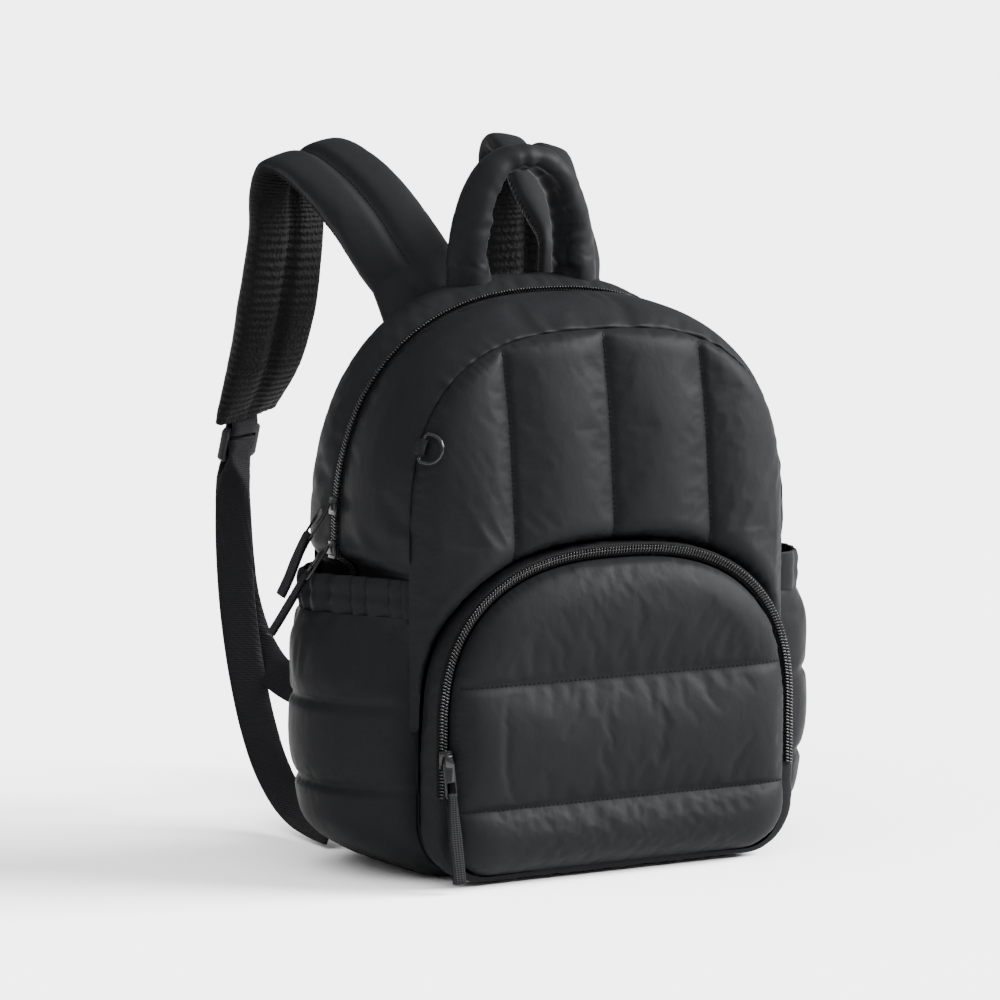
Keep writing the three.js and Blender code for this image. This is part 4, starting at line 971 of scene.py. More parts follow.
@dataclass
class SidePocket:
    """Quilted side pocket with a gathered elastic hem."""

    form: BagForm
    side: float
    swell: float = 37.0
    hem_wall: float = 4.0
    hem_pucker: Pucker = Pucker(5.0, 18, 12)
    quilt_pucker: Pucker = Pucker(0.9, 8, 6)
    filling: Swell = Swell(pressure=1.6, growth=0.012, cap=5)

    ROOM = ((0.0, 0.0), (0.2, 0.68), (0.3, 0.84), (0.34, 0.85), (0.357, 0.75), (0.375, 0.87), (0.43, 0.96),
            (0.52, 1.01), (0.62, 1.0), (0.655, 0.97), (0.673, 0.86), (0.69, 0.95), (0.75, 0.99), (0.88, 0.95),
            (1.0, 0.74), (1.15, 0.72))

    def _room(self, z: float) -> float:
        """Room between pocket and gusset at a height."""
        return self.swell * read_table(self.ROOM, z / (self.form.hem_top_z - self.form.hem_height))

    def _bulge(self, share: float, z: float) -> float:
        """Share of the room used at a place; the left hem lies close to the gusset near its front end.

        Args:
            share: share of the depth.
            z: height over the floor.

        Returns:
            The share.
        """
        if self.side > 0:
            return lens(share ** 0.72, 0.45)
        foot = self.form.hem_top_z - self.form.hem_height
        high = smooth((z - 0.7 * foot) / (0.3 * foot))
        return lens(share ** mix(1.0, 1.5, high), mix(0.5, 1.1, high))

    def _y(self, share: float) -> float:
        """Place of a share of the pocket's depth."""
        return mix(self.form.front_y + 0.3, self.form.back_y - 0.3, share)

    def _point(self, station: tuple, share: float) -> Vector:
        """Point of the quilted part, on its outer face.

        Args:
            station: where it is round the bag.
            share: share of the depth.

        Returns:
            Its place in the row frame, in millimetres.
        """
        y = self._y(share)
        point = self.form.base((station[0], 1.0, station[2]), y)
        level = 1.0 if station[0] == "side" else math.cos(station[2])
        thick = mix(1.0, 5.5, lens(share)) * level
        room = self._room(point.z) * self._bulge(share, point.z) * level
        point.x = self.side * (point.x + 0.6 + room + thick)
        return point

    def _hem_point(self, z: float, share: float) -> Vector:
        """Point of the hem: gathers across it, pinched at its top and foot.

        Args:
            z: height over the floor.
            share: share of the depth.

        Returns:
            Its place in the row frame, in millimetres.
        """
        form, y = self.form, self._y(share)
        foot = form.hem_top_z - form.hem_height
        up = clamp01((z - foot) / form.hem_height)
        swing = ripple(share * 127, 40 * self.side, SEED, 22)
        phase = 2 * math.pi * (11 * share + 0.75 * swing)
        gather_depth = 4.0 * (1 - math.cos(phase)) / 2 * mix(1, 0.55, abs(2 * up - 1) ** 2)
        low = math.sin(math.pi * clamp01((up - 0.08) / 0.4))
        high = math.sin(math.pi * clamp01((up - 0.5) / 0.5))
        band = 1.1 * low + 1.3 * high
        x = form.half_width_at(form.depth_at(y), min(z, form.hem_top_z)) + 0.9
        x += self._room(z) * self._bulge(share, z)
        x += (self.hem_wall * 0.7 + gather_depth + band) * lens(share, 0.3)
        return Vector((self.side * x, y, z - 0.6 * math.cos(phase) * (1 - up)))

    def build(self, cloth: Cloth) -> list[bpy.types.Object]:
        """Lay out the pocket and its hem.

        Args:
            cloth: the simulation that the piece is queued in.

        Returns:
            The pocket, then its hem.
        """
        form, name = self.form, "left" if self.side < 0 else "right"
        foot = form.hem_top_z - form.hem_height
        levels = [("side", 1.0, z) for z in np.linspace(foot - 0.2, form.corner, 46)]
        bends = [("corner", 1.0, bend) for bend in np.linspace(0, math.pi / 2 * 0.76, 11)[1:]]
        stations = levels + bends
        shares = np.linspace(0, 1, 43)
        quilt_rows = [min(range(len(levels)), key=lambda row: abs(levels[row][2] - line * foot))
                      for line in (0.675, 0.355)]
        held = (0, len(stations) - 1, *quilt_rows)
        pocket = grid_piece(f"side_pocket_{name}_quilted", stations, shares, self._point,
                            lambda i, j: i in held or j in (0, len(shares) - 1))
        facing_out(pocket, Vector((0, 0, 100)))
        for number, row in enumerate(held):
            pucker = self.hem_pucker if row == 0 else self.quilt_pucker
            gather(pocket, grid_row(row, len(shares)), pucker, 41 + number)
        cloth.add(pocket, self.filling)
        hem = grid_piece(f"pocket_hem_{name}_gathered", np.linspace(foot - 1.5, form.hem_top_z, 16),
                         np.linspace(0, 1, 150), self._hem_point, lambda i, j: True)
        facing_out(hem, Vector((0, 0, 180)))
        wall = hem.modifiers.new("Wall", "SOLIDIFY")
        wall.thickness, wall.offset = 2.2 * MM, -1
        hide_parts(f"side_pocket_{name}")
        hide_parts(f"pocket_hem_{name}")
        return [pocket, applied(hem)]


@dataclass
class PocketBand:
    """Boxing band round the front pocket, from the front panel forward to the pocket's zip."""

    face: PocketFace
    half_width: float = 134.6
    rise: float = 115.0
    floor_z: float = 3.0
    corner: float = 35.0
    back_y: float = -76.3
    flare: float = 4.0
    seam_groove: float = 2.4
    lip_share: float = 0.15
    lip_low: float = 4.4
    lip_high: float = 9.2
    lip_under_zip: float = 3.4
    zip_foot_z: float = 61.0
    pucker: Pucker = Pucker(0.7, 6, 6)
    filling: Swell = Swell(pressure=1.5, growth=0.006, cap=2.5)

    def rim(self, inset: float, spacing: float = 3.0) -> np.ndarray:
        """Closed outline of the band at an inset, starting at the left spring."""
        outline = round_outline(self.half_width - inset, self.face.spring_z, self.rise - inset,
                                self.face.power, self.floor_z + inset, self.corner - inset, (240, 24))
        return resample(outline, spacing)

    def build(self, cloth: Cloth) -> bpy.types.Object:
        """Lay out the band and queue it for the simulation.

        Args:
            cloth: the simulation that the piece is queued in.

        Returns:
            The band.
        """
        outer = self.rim(0.0)[:-1]
        centre = np.array([0.0, 105.0])
        shares = np.linspace(0, 1, 9)
        front_y = self.face.zip_y

        def point(index: int, share: float) -> tuple[float, float, float]:
            """Place of a point of the rim and a share of the band's width.

            Args:
                index: number of the point on the rim.
                share: share of the band's width.

            Returns:
                Its place in millimetres.
            """
            x, z = outer[index]
            low = smooth((z - self.floor_z) / self.corner)
            straight = low * smooth((self.face.spring_z + self.corner / 2 - z) / self.corner)
            wall = 1 - self.lip_share
            if share > wall:
                inward = (centre - outer[index]) / np.linalg.norm(centre - outer[index])
                turn = (share - wall) / self.lip_share
                below = mix(self.lip_low, self.lip_high, smooth((z - self.floor_z) / self.corner))
                reach = below if z < self.zip_foot_z - 0.5 else self.lip_under_zip
                x, z = outer[index] + inward * reach * turn
                return (x, front_y - 0.4 * math.sin(math.pi * turn), z)
            back = 1 - share / wall
            puff = 1.6 * math.sin(math.pi * share / wall)
            groove = self.seam_groove * math.exp(-(share / 0.12) ** 2)
            out = (self.flare * back - groove) * straight + puff * (abs(x) / self.half_width) ** 2
            x += math.copysign(out, x)
            return (x, mix(front_y, self.back_y, back), z)

        last = len(shares) - 1
        piece = grid_piece("pocket_boxing_sewn", range(len(outer)), shares, point,
                           lambda i, j: j in (0, last - 1, last), round_rows=True)
        facing_out(piece, Vector((0, -60, 105)))
        for number, column in enumerate((0, last - 1)):
            gather(piece, grid_column(column, len(shares), len(outer)), self.pucker, 51 + number)
        cloth.add(piece, self.filling)
        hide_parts("pocket_boxing")
        return piece


@dataclass
class Handle:
    """Haul handle: a padded roll bent into an arch, gathered along its inner seam."""

    form: BagForm
    rise: float = 85.0
    half_span: float = 40.0
    depth: float = 30.0
    y: float = 30.0
    power: float = 2.3
    pucker: Pucker = Pucker(4.8, 9, 6)
    filling: Swell = Swell(pressure=1.2, growth=0.01, cap=1.5)

    HALF = ((0.0, 0.5), (0.45, 0.42), (0.85, 0.32), (1.0, 0.26))

    def _centre(self, share: float) -> Vector:
        """Middle of the roll at a share of its run.

        Args:
            share: share of the run.

        Returns:
            Its place in the row frame, in millimetres.
        """
        turn = math.pi * clamp01(share)
        cosine, sine = -math.cos(turn), max(0.0, math.sin(turn))
        x = bent(cosine, 2 / self.power) * self.half_span
        rise = sine ** (2 / self.power) * (self.rise - self.depth * 0.26)
        return Vector((x, self.y, self.form.crown_z(0, self.y) + rise))

    def build(self, cloth: Cloth) -> bpy.types.Object:
        """Lay out the handle and queue it for the simulation.

        Args:
            cloth: the simulation that the piece is queued in.

        Returns:
            The handle.
        """
        fine = np.array([self._centre(share) for share in np.linspace(0, 1, 600)])
        run = np.concatenate([[0.0], np.cumsum(np.linalg.norm(np.diff(fine, axis=0), axis=1))])
        shares = np.interp(np.linspace(0, run[-1], 84), run, np.linspace(0, 1, 600))
        foot_z = self.form.crown_z(0, self.y)

        def point(share: float, turn: float) -> Vector:
            """Place of a share of the run and an angle round the handle.

            Args:
                share: share of the run.
                turn: angle, in radians.

            Returns:
                Its place in millimetres.
            """
            centre = self._centre(share)
            ahead = (self._centre(share + 0.004) - self._centre(share - 0.004)).normalized()
            outward = Vector((-ahead.z, 0, ahead.x))
            up = (centre.z - foot_z) / self.rise
            thick = self.depth * read_table(self.HALF, up)
            crease = 0.3 * math.exp(-((turn - math.pi * 7 / 6) / 0.35) ** 2) * smooth(up * 6)
            place = centre + outward * thick * math.cos(turn) * (1 - crease)
            place.y += self.depth * 0.48 * math.sin(turn)
            if share in (shares[0], shares[-1]):
                place.z = self.form.crown_z(place.x, place.y) - 1.5
            return place

        turns = [2 * math.pi * index / 36 for index in range(36)]
        seam = 21
        piece = grid_piece("haul_handle_gathered", shares, turns, point,
                           lambda i, j: i in (0, len(shares) - 1) or j == seam, round_columns=True)
        facing_out(piece, Vector((0, self.y, foot_z + 20)))
        gather(piece, grid_column(seam, len(turns), len(shares)), self.pucker, 61)
        cloth.add(piece, self.filling)
        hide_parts("haul_handle")
        return piece


@dataclass
class ShoulderStrap:
    """Padded strap: two channels on each face with a sewn groove, nylon outside and air mesh inside."""

    form: BagForm
    side: float
    width: float = 62.0
    thickness: float = 16.0
    groove: float = 5.6
    squareness: float = 0.62
    columns: int = 13
    column_width: float = 2.9
    crowding: float = 0.37
    run: float = 330.0
    pucker: Pucker = Pucker(0.8, 5, 6)
    filling: Swell = Swell(pressure=1.2, growth=0.01, cap=2.5)
    reach: float = 180.0
    root_top: float = 362.0
    seam_lines: list[list[int]] = field(default_factory=list)

    LINE = ((-0.322, 0.044, 0.078, -20, -22), (-0.361, 0.133, 0.183, -19, -18),
            (-0.383, 0.272, 0.306, -15, -12), (-0.428, 0.444, 0.433, -8, -13),
            (-0.472, 0.611, 0.5, 8, -15), (-0.494, 0.683, 0.472, 12, -10),
            (-0.511, 0.711, 0.378, 11, -4), (-0.517, 0.711, 0.233, 10, 0),
            (-0.533, 0.761, -0.05, 2, 0), (-0.544, 0.85, -0.278, 9, 2),
            (-0.556, 0.989, -0.483, 25, 3))
    WIDE = ((0.0, 0.97), (0.1, 1.0), (0.5, 1.0), (0.8, 0.96), (0.94, 0.95), (1.0, 0.92))
    THICK = ((0.0, 0.62), (0.1, 0.95), (0.5, 1.0), (0.8, 0.95), (0.94, 0.7), (1.0, 0.5))

    @cached_property
    def _points(self) -> list[Vector]:
        """Middle line in millimetres, with one point past each end."""
        line = [Vector((x * self.reach, self.form.back_y + y * self.reach, self.root_top + z * self.reach))
                for x, y, z, _, _ in self.LINE]
        return [2 * line[0] - line[1], *line, 2 * line[-1] - line[-2]]

    def _middle(self, share: float) -> Vector:
        """Point of the middle line, by a centripetal curve through its rows.

        Args:
            share: share of the run.

        Returns:
            Its place in the row frame, in millimetres.
        """
        at = clamp01(share) * (len(self.LINE) - 1)
        index = min(int(at), len(self.LINE) - 2)
        p0, p1, p2, p3 = self._points[index:index + 4]
        d0, d1, d2 = (p1 - p0).length ** 0.5, (p2 - p1).length ** 0.5, (p3 - p2).length ** 0.5
        t1 = ((p1 - p0) / d0 - (p2 - p0) / (d0 + d1) + (p2 - p1) / d1) * d1
        t2 = ((p2 - p1) / d1 - (p3 - p1) / (d1 + d2) + (p3 - p2) / d2) * d1
        t = at - index
        return p1 + t1 * t + (3 * (p2 - p1) - 2 * t1 - t2) * t * t + (2 * (p1 - p2) + t1 + t2) * t ** 3

    def _frame(self, share: float) -> tuple[Vector, Vector, Vector]:
        """Middle, width direction and outward face direction at a share of the run.

        Args:
            share: share of the run.

        Returns:
            The place and the two directions.
        """
        at = clamp01(share) * (len(self.LINE) - 1)
        low = min(int(at), len(self.LINE) - 2)
        turn, lean = (math.radians(mix(self.LINE[low][k], self.LINE[low + 1][k], at - low)) for k in (3, 4))
        ahead = (self._middle(share + 0.004) - self._middle(share - 0.004)).normalized()
        width = Vector((math.cos(turn) * math.cos(lean), math.sin(turn) * math.cos(lean), -math.sin(lean)))
        width = (width - ahead * width.dot(ahead)).normalized()
        return self._middle(share), width, width.cross(ahead)

    def _ring_point(self, share: float, turn: float) -> Vector:
        """Point round the strap: turn 0 is one edge, a quarter turn the middle of the outer face.

        Args:
            share: share of the run.
            turn: angle round it, in radians.

        Returns:
            Its place in the row frame, in millimetres.
        """
        across, height = bent(math.cos(turn), self.squareness), bent(math.sin(turn), self.squareness)
        if share < 0.03:
            x = self.LINE[0][0] * self.reach + across * self.width / 2 * 0.97
            y = self.form.back_y - height * 3.5
            top = arch_z(x, self.form.half_width_at(1, 400), self.form.spring_z, self.form.rise_at(1), 2.4)
            return Vector((x, y, max(top, self.form.crown_z(x, y)) + 0.2))
        middle, width, face = self._frame(share)
        half = self.thickness / 2 * read_table(self.THICK, share)
        dip = self.groove * math.exp(-(across / 0.15) ** 2) * lens(share, 0.4)
        lift = height * half - math.copysign(min(dip, half * 0.7), height)
        return middle + width * across * self.width / 2 * read_table(self.WIDE, share) + face * lift

    def build(self, cloth: Cloth, nylon: bpy.types.Material, mesh: bpy.types.Material) -> bpy.types.Object:
        """Lay out the strap and queue it for the simulation.

        Args:
            cloth: the simulation that the piece is queued in.
            nylon: finish of the outer face.
            mesh: finish of the inner face.

        Returns:
            The strap.
        """
        name = "left" if self.side < 0 else "right"
        shares = [0.0, *np.linspace(0.035, 1, 110)]
        round_count = 4 * self.columns
        turns = [turn + self.crowding * math.sin(2 * turn)
                 for turn in np.linspace(0, 2 * math.pi, round_count, endpoint=False)]

        def point(share: float, turn: float) -> Vector:
            """Place on the strap of this side.

            Args:
                share: share of the run.
                turn: angle, in radians.

            Returns:
                Its place in millimetres.
            """
            place = self._ring_point(share, turn)
            place.x *= -self.side
            return place

        ends = (0, 1, len(shares) - 1)
        piece = grid_piece(f"shoulder_strap_{name}_padded", shares, turns, point,
                           lambda i, j: i in ends or j % self.columns == 0, round_columns=True)
        data = piece.data
        last = (len(shares) - 1) * len(turns)
        cap = bpy.data.meshes.new(f"strap_end_{name}")
        cap.from_pydata([vertex.co.copy() for vertex in data.vertices], [],
                        [*(tuple(face.vertices) for face in data.polygons),
                         tuple(range(last, last + len(turns)))])
        cap.shade_smooth()
        piece.data = cap
        for material in (nylon, mesh):
            cap.materials.append(material)
        runs = np.linspace(0, self.run, len(shares))
        layer = cap.uv_layers.new(name="run")
        for face in cap.polygons:
            column = face.index % len(turns)
            face.material_index = int(column >= 2 * self.columns and face.index < last)
            for loop in face.loop_indices:
                row, turn = divmod(cap.loops[loop].vertex_index, len(turns))
                turn = len(turns) if turn == 0 and column == len(turns) - 1 else turn
                layer.data[loop].uv = (turn * self.column_width / 10, runs[row] / 10)
        facing_out(piece, self._middle(0.5))
        for number in range(4):
            line = grid_column(number * self.columns, len(turns), len(shares), 1)
            gather(piece, line, self.pucker, 71 + number)
            if number % 2:
                self.seam_lines.append(line)
        box = grid_row(round(0.9 * (len(shares) - 1)), len(turns))
        self.seam_lines.append(box[2 * self.columns:])
        cloth.add(piece, self.filling)
        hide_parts(f"shoulder_strap_{name}")
        return piece


class Repeats:
    """Geometry Nodes group that puts one small shape on every point of a line."""

    def __init__(self) -> None:
        """Make the node group with its inputs."""
        self.group = bpy.data.node_groups.new("Sewn repeats", "GeometryNodeTree")
        face = self.group.interface
        face.new_socket("Geometry", in_out="INPUT", socket_type="NodeSocketGeometry")
        self.inputs = {}
        for name, kind in (("Shape", "Object"), ("Finish", "Material"), ("Size", "Float"),
                           ("Spread", "Float"), ("Seed", "Int")):
            socket = face.new_socket(name, in_out="INPUT", socket_type=f"NodeSocket{kind}")
            self.inputs[name] = socket.identifier
        face.new_socket("Geometry", in_out="OUTPUT", socket_type="NodeSocketGeometry")
        nodes, links = self.group.nodes, self.group.links
        start, end = nodes.new("NodeGroupInput"), nodes.new("NodeGroupOutput")
        shape = nodes.new("GeometryNodeObjectInfo")
        place = nodes.new("GeometryNodeInstanceOnPoints")
        turn = nodes.new("FunctionNodeAxesToRotation")
        turn.primary_axis, turn.secondary_axis = "Z", "X"
        size = nodes.new("FunctionNodeRandomValue")
        low, high = nodes.new("ShaderNodeMath"), nodes.new("ShaderNodeMath")
        low.operation, high.operation = "SUBTRACT", "ADD"
        for node in (low, high):
            links.new(start.outputs["Size"], node.inputs[0])
            links.new(start.outputs["Spread"], node.inputs[1])
        floats = [socket for socket in size.inputs if socket.type == "VALUE" and socket.enabled]
        links.new(low.outputs[0], floats[0])
        links.new(high.outputs[0], floats[1])
        links.new(start.outputs["Seed"], size.inputs["Seed"])
        for socket, name in ((0, "out"), (1, "along")):
            read = nodes.new("GeometryNodeInputNamedAttribute")
            read.data_type = "FLOAT_VECTOR"
            read.inputs["Name"].default_value = name
            links.new(read.outputs["Attribute"], turn.inputs[socket])
        links.new(start.outputs["Geometry"], place.inputs["Points"])
        links.new(start.outputs["Shape"], shape.inputs["Object"])
        links.new(shape.outputs["Geometry"], place.inputs["Instance"])
        links.new(turn.outputs["Rotation"], place.inputs["Rotation"])
        links.new(next(socket for socket in size.outputs if socket.enabled), place.inputs["Scale"])
        real, paint = nodes.new("GeometryNodeRealizeInstances"), nodes.new("GeometryNodeSetMaterial")
        links.new(place.outputs["Instances"], real.inputs["Geometry"])
        links.new(real.outputs["Geometry"], paint.inputs["Geometry"])
        links.new(start.outputs["Finish"], paint.inputs["Material"])
        links.new(paint.outputs["Geometry"], end.inputs["Geometry"])

    def along(self, name: str, points: Sequence[Vector], out: Sequence[Vector], shape: bpy.types.Object,
              finish: bpy.types.Material, spread: float = 0.04) -> bpy.types.Object:
        """Put a shape on every point.

        Args:
            name: the new object's name.
            points: places in metres.
            out: the direction of the shape's Z at each place; its X runs along the points.
            shape: what is repeated.
            finish: its material.
            spread: how much its size varies.

        Returns:
            One mesh object.
        """
        mesh = bpy.data.meshes.new(name)
        mesh.from_pydata([tuple(point) for point in points], [], [])
        ahead = [(points[min(i + 1, len(points) - 1)] - points[max(i - 1, 0)]).normalized()
                 for i in range(len(points))]
        for key, values in (("along", ahead), ("out", out)):
            layer = mesh.attributes.new(key, "FLOAT_VECTOR", "POINT")
            layer.data.foreach_set("vector", [number for value in values for number in value])
        piece = bpy.data.objects.new(name, mesh)
        bpy.context.scene.collection.objects.link(piece)
        modifier = piece.modifiers.new("Repeats", "NODES")
        modifier.node_group = self.group
        for key, value in (("Shape", shape), ("Finish", finish), ("Size", 1.0), ("Spread", spread),
                           ("Seed", SEED)):
            modifier[self.inputs[key]] = value
        return applied(piece)


def pellet(name: str, length: float, width: float, height: float, bend: float = 0.0) -> bpy.types.Object:
    """A small rounded bar along X in millimetres, a few dozen faces, to be repeated; never shown itself.

    Args:
        name: the object's name.
        length: along X.
        width: along Y.
        height: along Z.
        bend: how far its middle stands up.

    Returns:
        The bar, which is removed once it has been repeated.
    """
    rows = []
    for share in (-0.5, -0.42, -0.2, 0.0, 0.2, 0.42, 0.5):
        scale = 0.35 if abs(share) == 0.5 else 1.0
        lift = bend * math.cos(math.pi * share)
        rows.append([(share * length, width / 2 * scale * math.cos(t),
                      lift + height / 2 * scale * math.sin(t))
                     for t in np.linspace(0, 2 * math.pi, 6, endpoint=False)])
    points = [point for row in rows for point in row]
    faces = [(i * 6 + j, i * 6 + (j + 1) % 6, (i + 1) * 6 + (j + 1) % 6, (i + 1) * 6 + j)
             for i in range(6) for j in range(6)]
    faces += [tuple(range(5, -1, -1)), tuple(range(36, 42))]
    shape = new_mesh(name, points, faces)
    shape.vertex_groups.clear()
    return shape


@dataclass
class Zip:
    """A closed coil zip: a flat tape and interlocked teeth along a line on the bag."""

    name: str
    node: str
    points: Sequence[Vector]
    out: Sequence[Vector]
    tape_width: float = 8.0
    pitch: float = 2.1
    coil: float = 5.6
    lift: float = 1.3

    def build(self, repeats: Repeats, tooth: bpy.types.Object, tape: bpy.types.Material,
              teeth: bpy.types.Material) -> bpy.types.Object:
        """Make the tape and its teeth as one piece.

        Args:
            repeats: the group that repeats the teeth.
            tooth: one tooth.
            tape: the tape's finish.
            teeth: the teeth's finish.

        Returns:
            The zip.
        """
        path = resample(np.array([tuple(point) for point in self.points]), 3.0)
        source = np.array([tuple(point) for point in self.points])
        tree = KDTree(len(source))
        for index, point in enumerate(self.points):
            tree.insert(point, index)
        tree.balance()

        def frame(points: np.ndarray) -> list[tuple[Vector, Vector, Vector]]:
            """Place, outward direction and cross direction of each point.

            Args:
                points: the points of the line.

            Returns:
                One row of the three for each point.
            """
            frames = []
            for index, raw in enumerate(points):
                at = Vector(raw)
                after, before = points[min(index + 1, len(points) - 1)], points[max(index - 1, 0)]
                ahead = Vector(after - before).normalized()
                out = self.out[tree.find(at)[1]]
                out = (out - ahead * out.dot(ahead)).normalized()
                frames.append((at, out, ahead.cross(out)))
            return frames

        half = self.tape_width / 2
        section = ((-half, -1.0), (-half, -0.1), (-half * 0.6, 0.15), (0.0, 0.3), (half * 0.6, 0.15),
                   (half, -0.1), (half, -1.0))
        frames = frame(path)
        ribbon = grid_piece(self.name, frames, section,
                            lambda row, column: row[0] + row[2] * column[0] + row[1] * column[1],
                            lambda i, j: True)
        ribbon.vertex_groups.clear()
        ribbon.data.materials.append(tape)
        if sum(face.normal.dot(frames[min(face.index // 6, len(frames) - 1)][1])
               for face in ribbon.data.polygons) < 0:
            ribbon.data.flip_normals()
        rows = []
        fine = resample(source, self.pitch)
        for sign in (-1, 1):
            line = frame(fine + (fine[1] - fine[0]) * 0.25 * sign)
            places = [(at + across * sign * self.coil * 0.25 + out * self.lift) * MM
                      for at, out, across in line]
            rows.append(repeats.along(f"{self.name} teeth {sign}", places,
                                      [out for _, out, _ in line], tooth, teeth, 0.03))
        piece = joined(self.name, [ribbon, *rows])
        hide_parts(self.node)
        return piece


def stitches(repeats: Repeats, name: str, piece: bpy.types.Object, line: Sequence[Vector],
             thread: bpy.types.Object, finish: bpy.types.Material, pitch: float = 3.4) -> bpy.types.Object:
    """Sew stitches onto a piece along a line that lies close to it.

    Args:
        repeats: the group that repeats the thread.
        name: name of the stitches' object before it is joined.
        piece: the piece that is sewn.
        line: places in metres near its surface.
        thread: one stitch.
        finish: the thread's material.
        pitch: from stitch to stitch, in millimetres.

    Returns:
        The piece with the stitches joined in.
    """
    places = resample(np.array([tuple(point) for point in line]), pitch * MM)
    points, out = [], []
    for raw in places[1:-1]:
        _, at, normal, _ = piece.closest_point_on_mesh(Vector(raw))
        points.append(at + normal * 0.25 * MM)
        out.append(normal)
    return joined(piece.name, [piece, repeats.along(name, points, out, thread, finish, 0.06)])


@dataclass
class Hardware:
    """Hard parts and flat strips, taken from their CAD nodes with rounded edges and round bends."""

    nodes: dict[str, bpy.types.Object]

    def _copy(self, node: str, name: str) -> bpy.types.Object:
        """A CAD node's mesh as one joined skin in a new object.

        Args:
            node: the CAD node.
            name: name of the new object.

        Returns:
            The new object.
        """
        mesh = self.nodes[node].data.copy()
        mesh.materials.clear()
        piece = bpy.data.objects.new(name, mesh)
        bpy.context.scene.collection.objects.link(piece)
        weld = piece.modifiers.new("Weld", "WELD")
        weld.merge_threshold = 0.01 * MM
        applied(piece)
        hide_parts(node)
        return piece

    def rounded(self, node: str, finish: bpy.types.Material, edge: float = 0.35) -> bpy.types.Object:
        """A hard part with its edges rounded.

        Args:
            node: the CAD node.
            finish: its material.
            edge: radius of the edges, in millimetres.

        Returns:
            The finished part.
        """
        piece = self._copy(node, f"{node}_rounded")
        bevel = piece.modifiers.new("Edge", "BEVEL")
        bevel.width, bevel.segments, bevel.limit_method = edge * MM, 2, "ANGLE"
        bevel.angle_limit = math.radians(35)
        applied(piece).data.materials.append(finish)
        piece.data.set_sharp_from_angle(angle=math.radians(40))
        return piece

    def flexible(self, node: str, finish: bpy.types.Material) -> bpy.types.Object:
        """A flat strip bent smoothly, with its long edges kept crisp.

        Args:
            node: the CAD node.
            finish: its material.

        Returns:
            The finished strip.
        """
        piece = self._copy(node, f"{node}_woven")
        mesh = piece.data
        crease = mesh.attributes.new("crease_edge", "FLOAT", "EDGE")
        faces_of = {}
        for face in mesh.polygons:
            for key in face.edge_keys:
                faces_of.setdefault(key, []).append(face.normal)
        for edge in mesh.edges:
            normals = faces_of.get(tuple(sorted(edge.vertices)), [])
            sharp = len(normals) == 2 and normals[0].angle(normals[1], 0.0) > math.radians(60)
            crease.data[edge.index].value = 0.82 if sharp else 0.0
        tris = piece.modifiers.new("Quads", "DECIMATE")
        tris.decimate_type, tris.angle_limit = "DISSOLVE", math.radians(0.4)
        subdivided(piece, 2).data.materials.append(finish)
        return piece


# Finishes

class Value:
    """A shader socket that turns plain arithmetic into maths nodes."""

    def __init__(self, tree: bpy.types.NodeTree, socket: bpy.types.NodeSocket) -> None:
        """Wrap one output socket of a material's tree."""
        self.tree, self.socket = tree, socket

    def apply(self, operation: str, *others: "Value | float", swap: bool = False) -> "Value":
        """Put this value through a maths node.

        Args:
            operation: the node's operation.
            *others: up to two further inputs, values or numbers.
            swap: put the inputs in from the last to the first.

        Returns:
            The node's output.
        """
        node = self.tree.nodes.new("ShaderNodeMath")
        node.operation = operation
        terms = [self, *others]
        for index, term in enumerate(reversed(terms) if swap else terms):
            if isinstance(term, Value):
                self.tree.links.new(term.socket, node.inputs[index])
            else:
                node.inputs[index].default_value = term
        return Value(self.tree, node.outputs[0])

    def __add__(self, other: "Value | float") -> "Value":
        """Sum with a value or number."""
        return self.apply("ADD", other)

    __radd__ = __add__

    def __mul__(self, other: "Value | float") -> "Value":
        """Product with a value or number."""
        return self.apply("MULTIPLY", other)

    __rmul__ = __mul__

    def __sub__(self, other: "Value | float") -> "Value":
        """This value less another."""
        return self.apply("SUBTRACT", other)

    def __rsub__(self, other: float) -> "Value":
        """A number less this value."""
        return self.apply("SUBTRACT", other, swap=True)

    def __pow__(self, other: float) -> "Value":
        """This value to a power."""
        return self.apply("POWER", other)


class Pattern(Enum):
    """Surface patterns of the bag's fabrics."""

    NYLON = "nylon"
    AIR_MESH = "air mesh"
    WEBBING = "webbing"
    PLAIN = "plain"


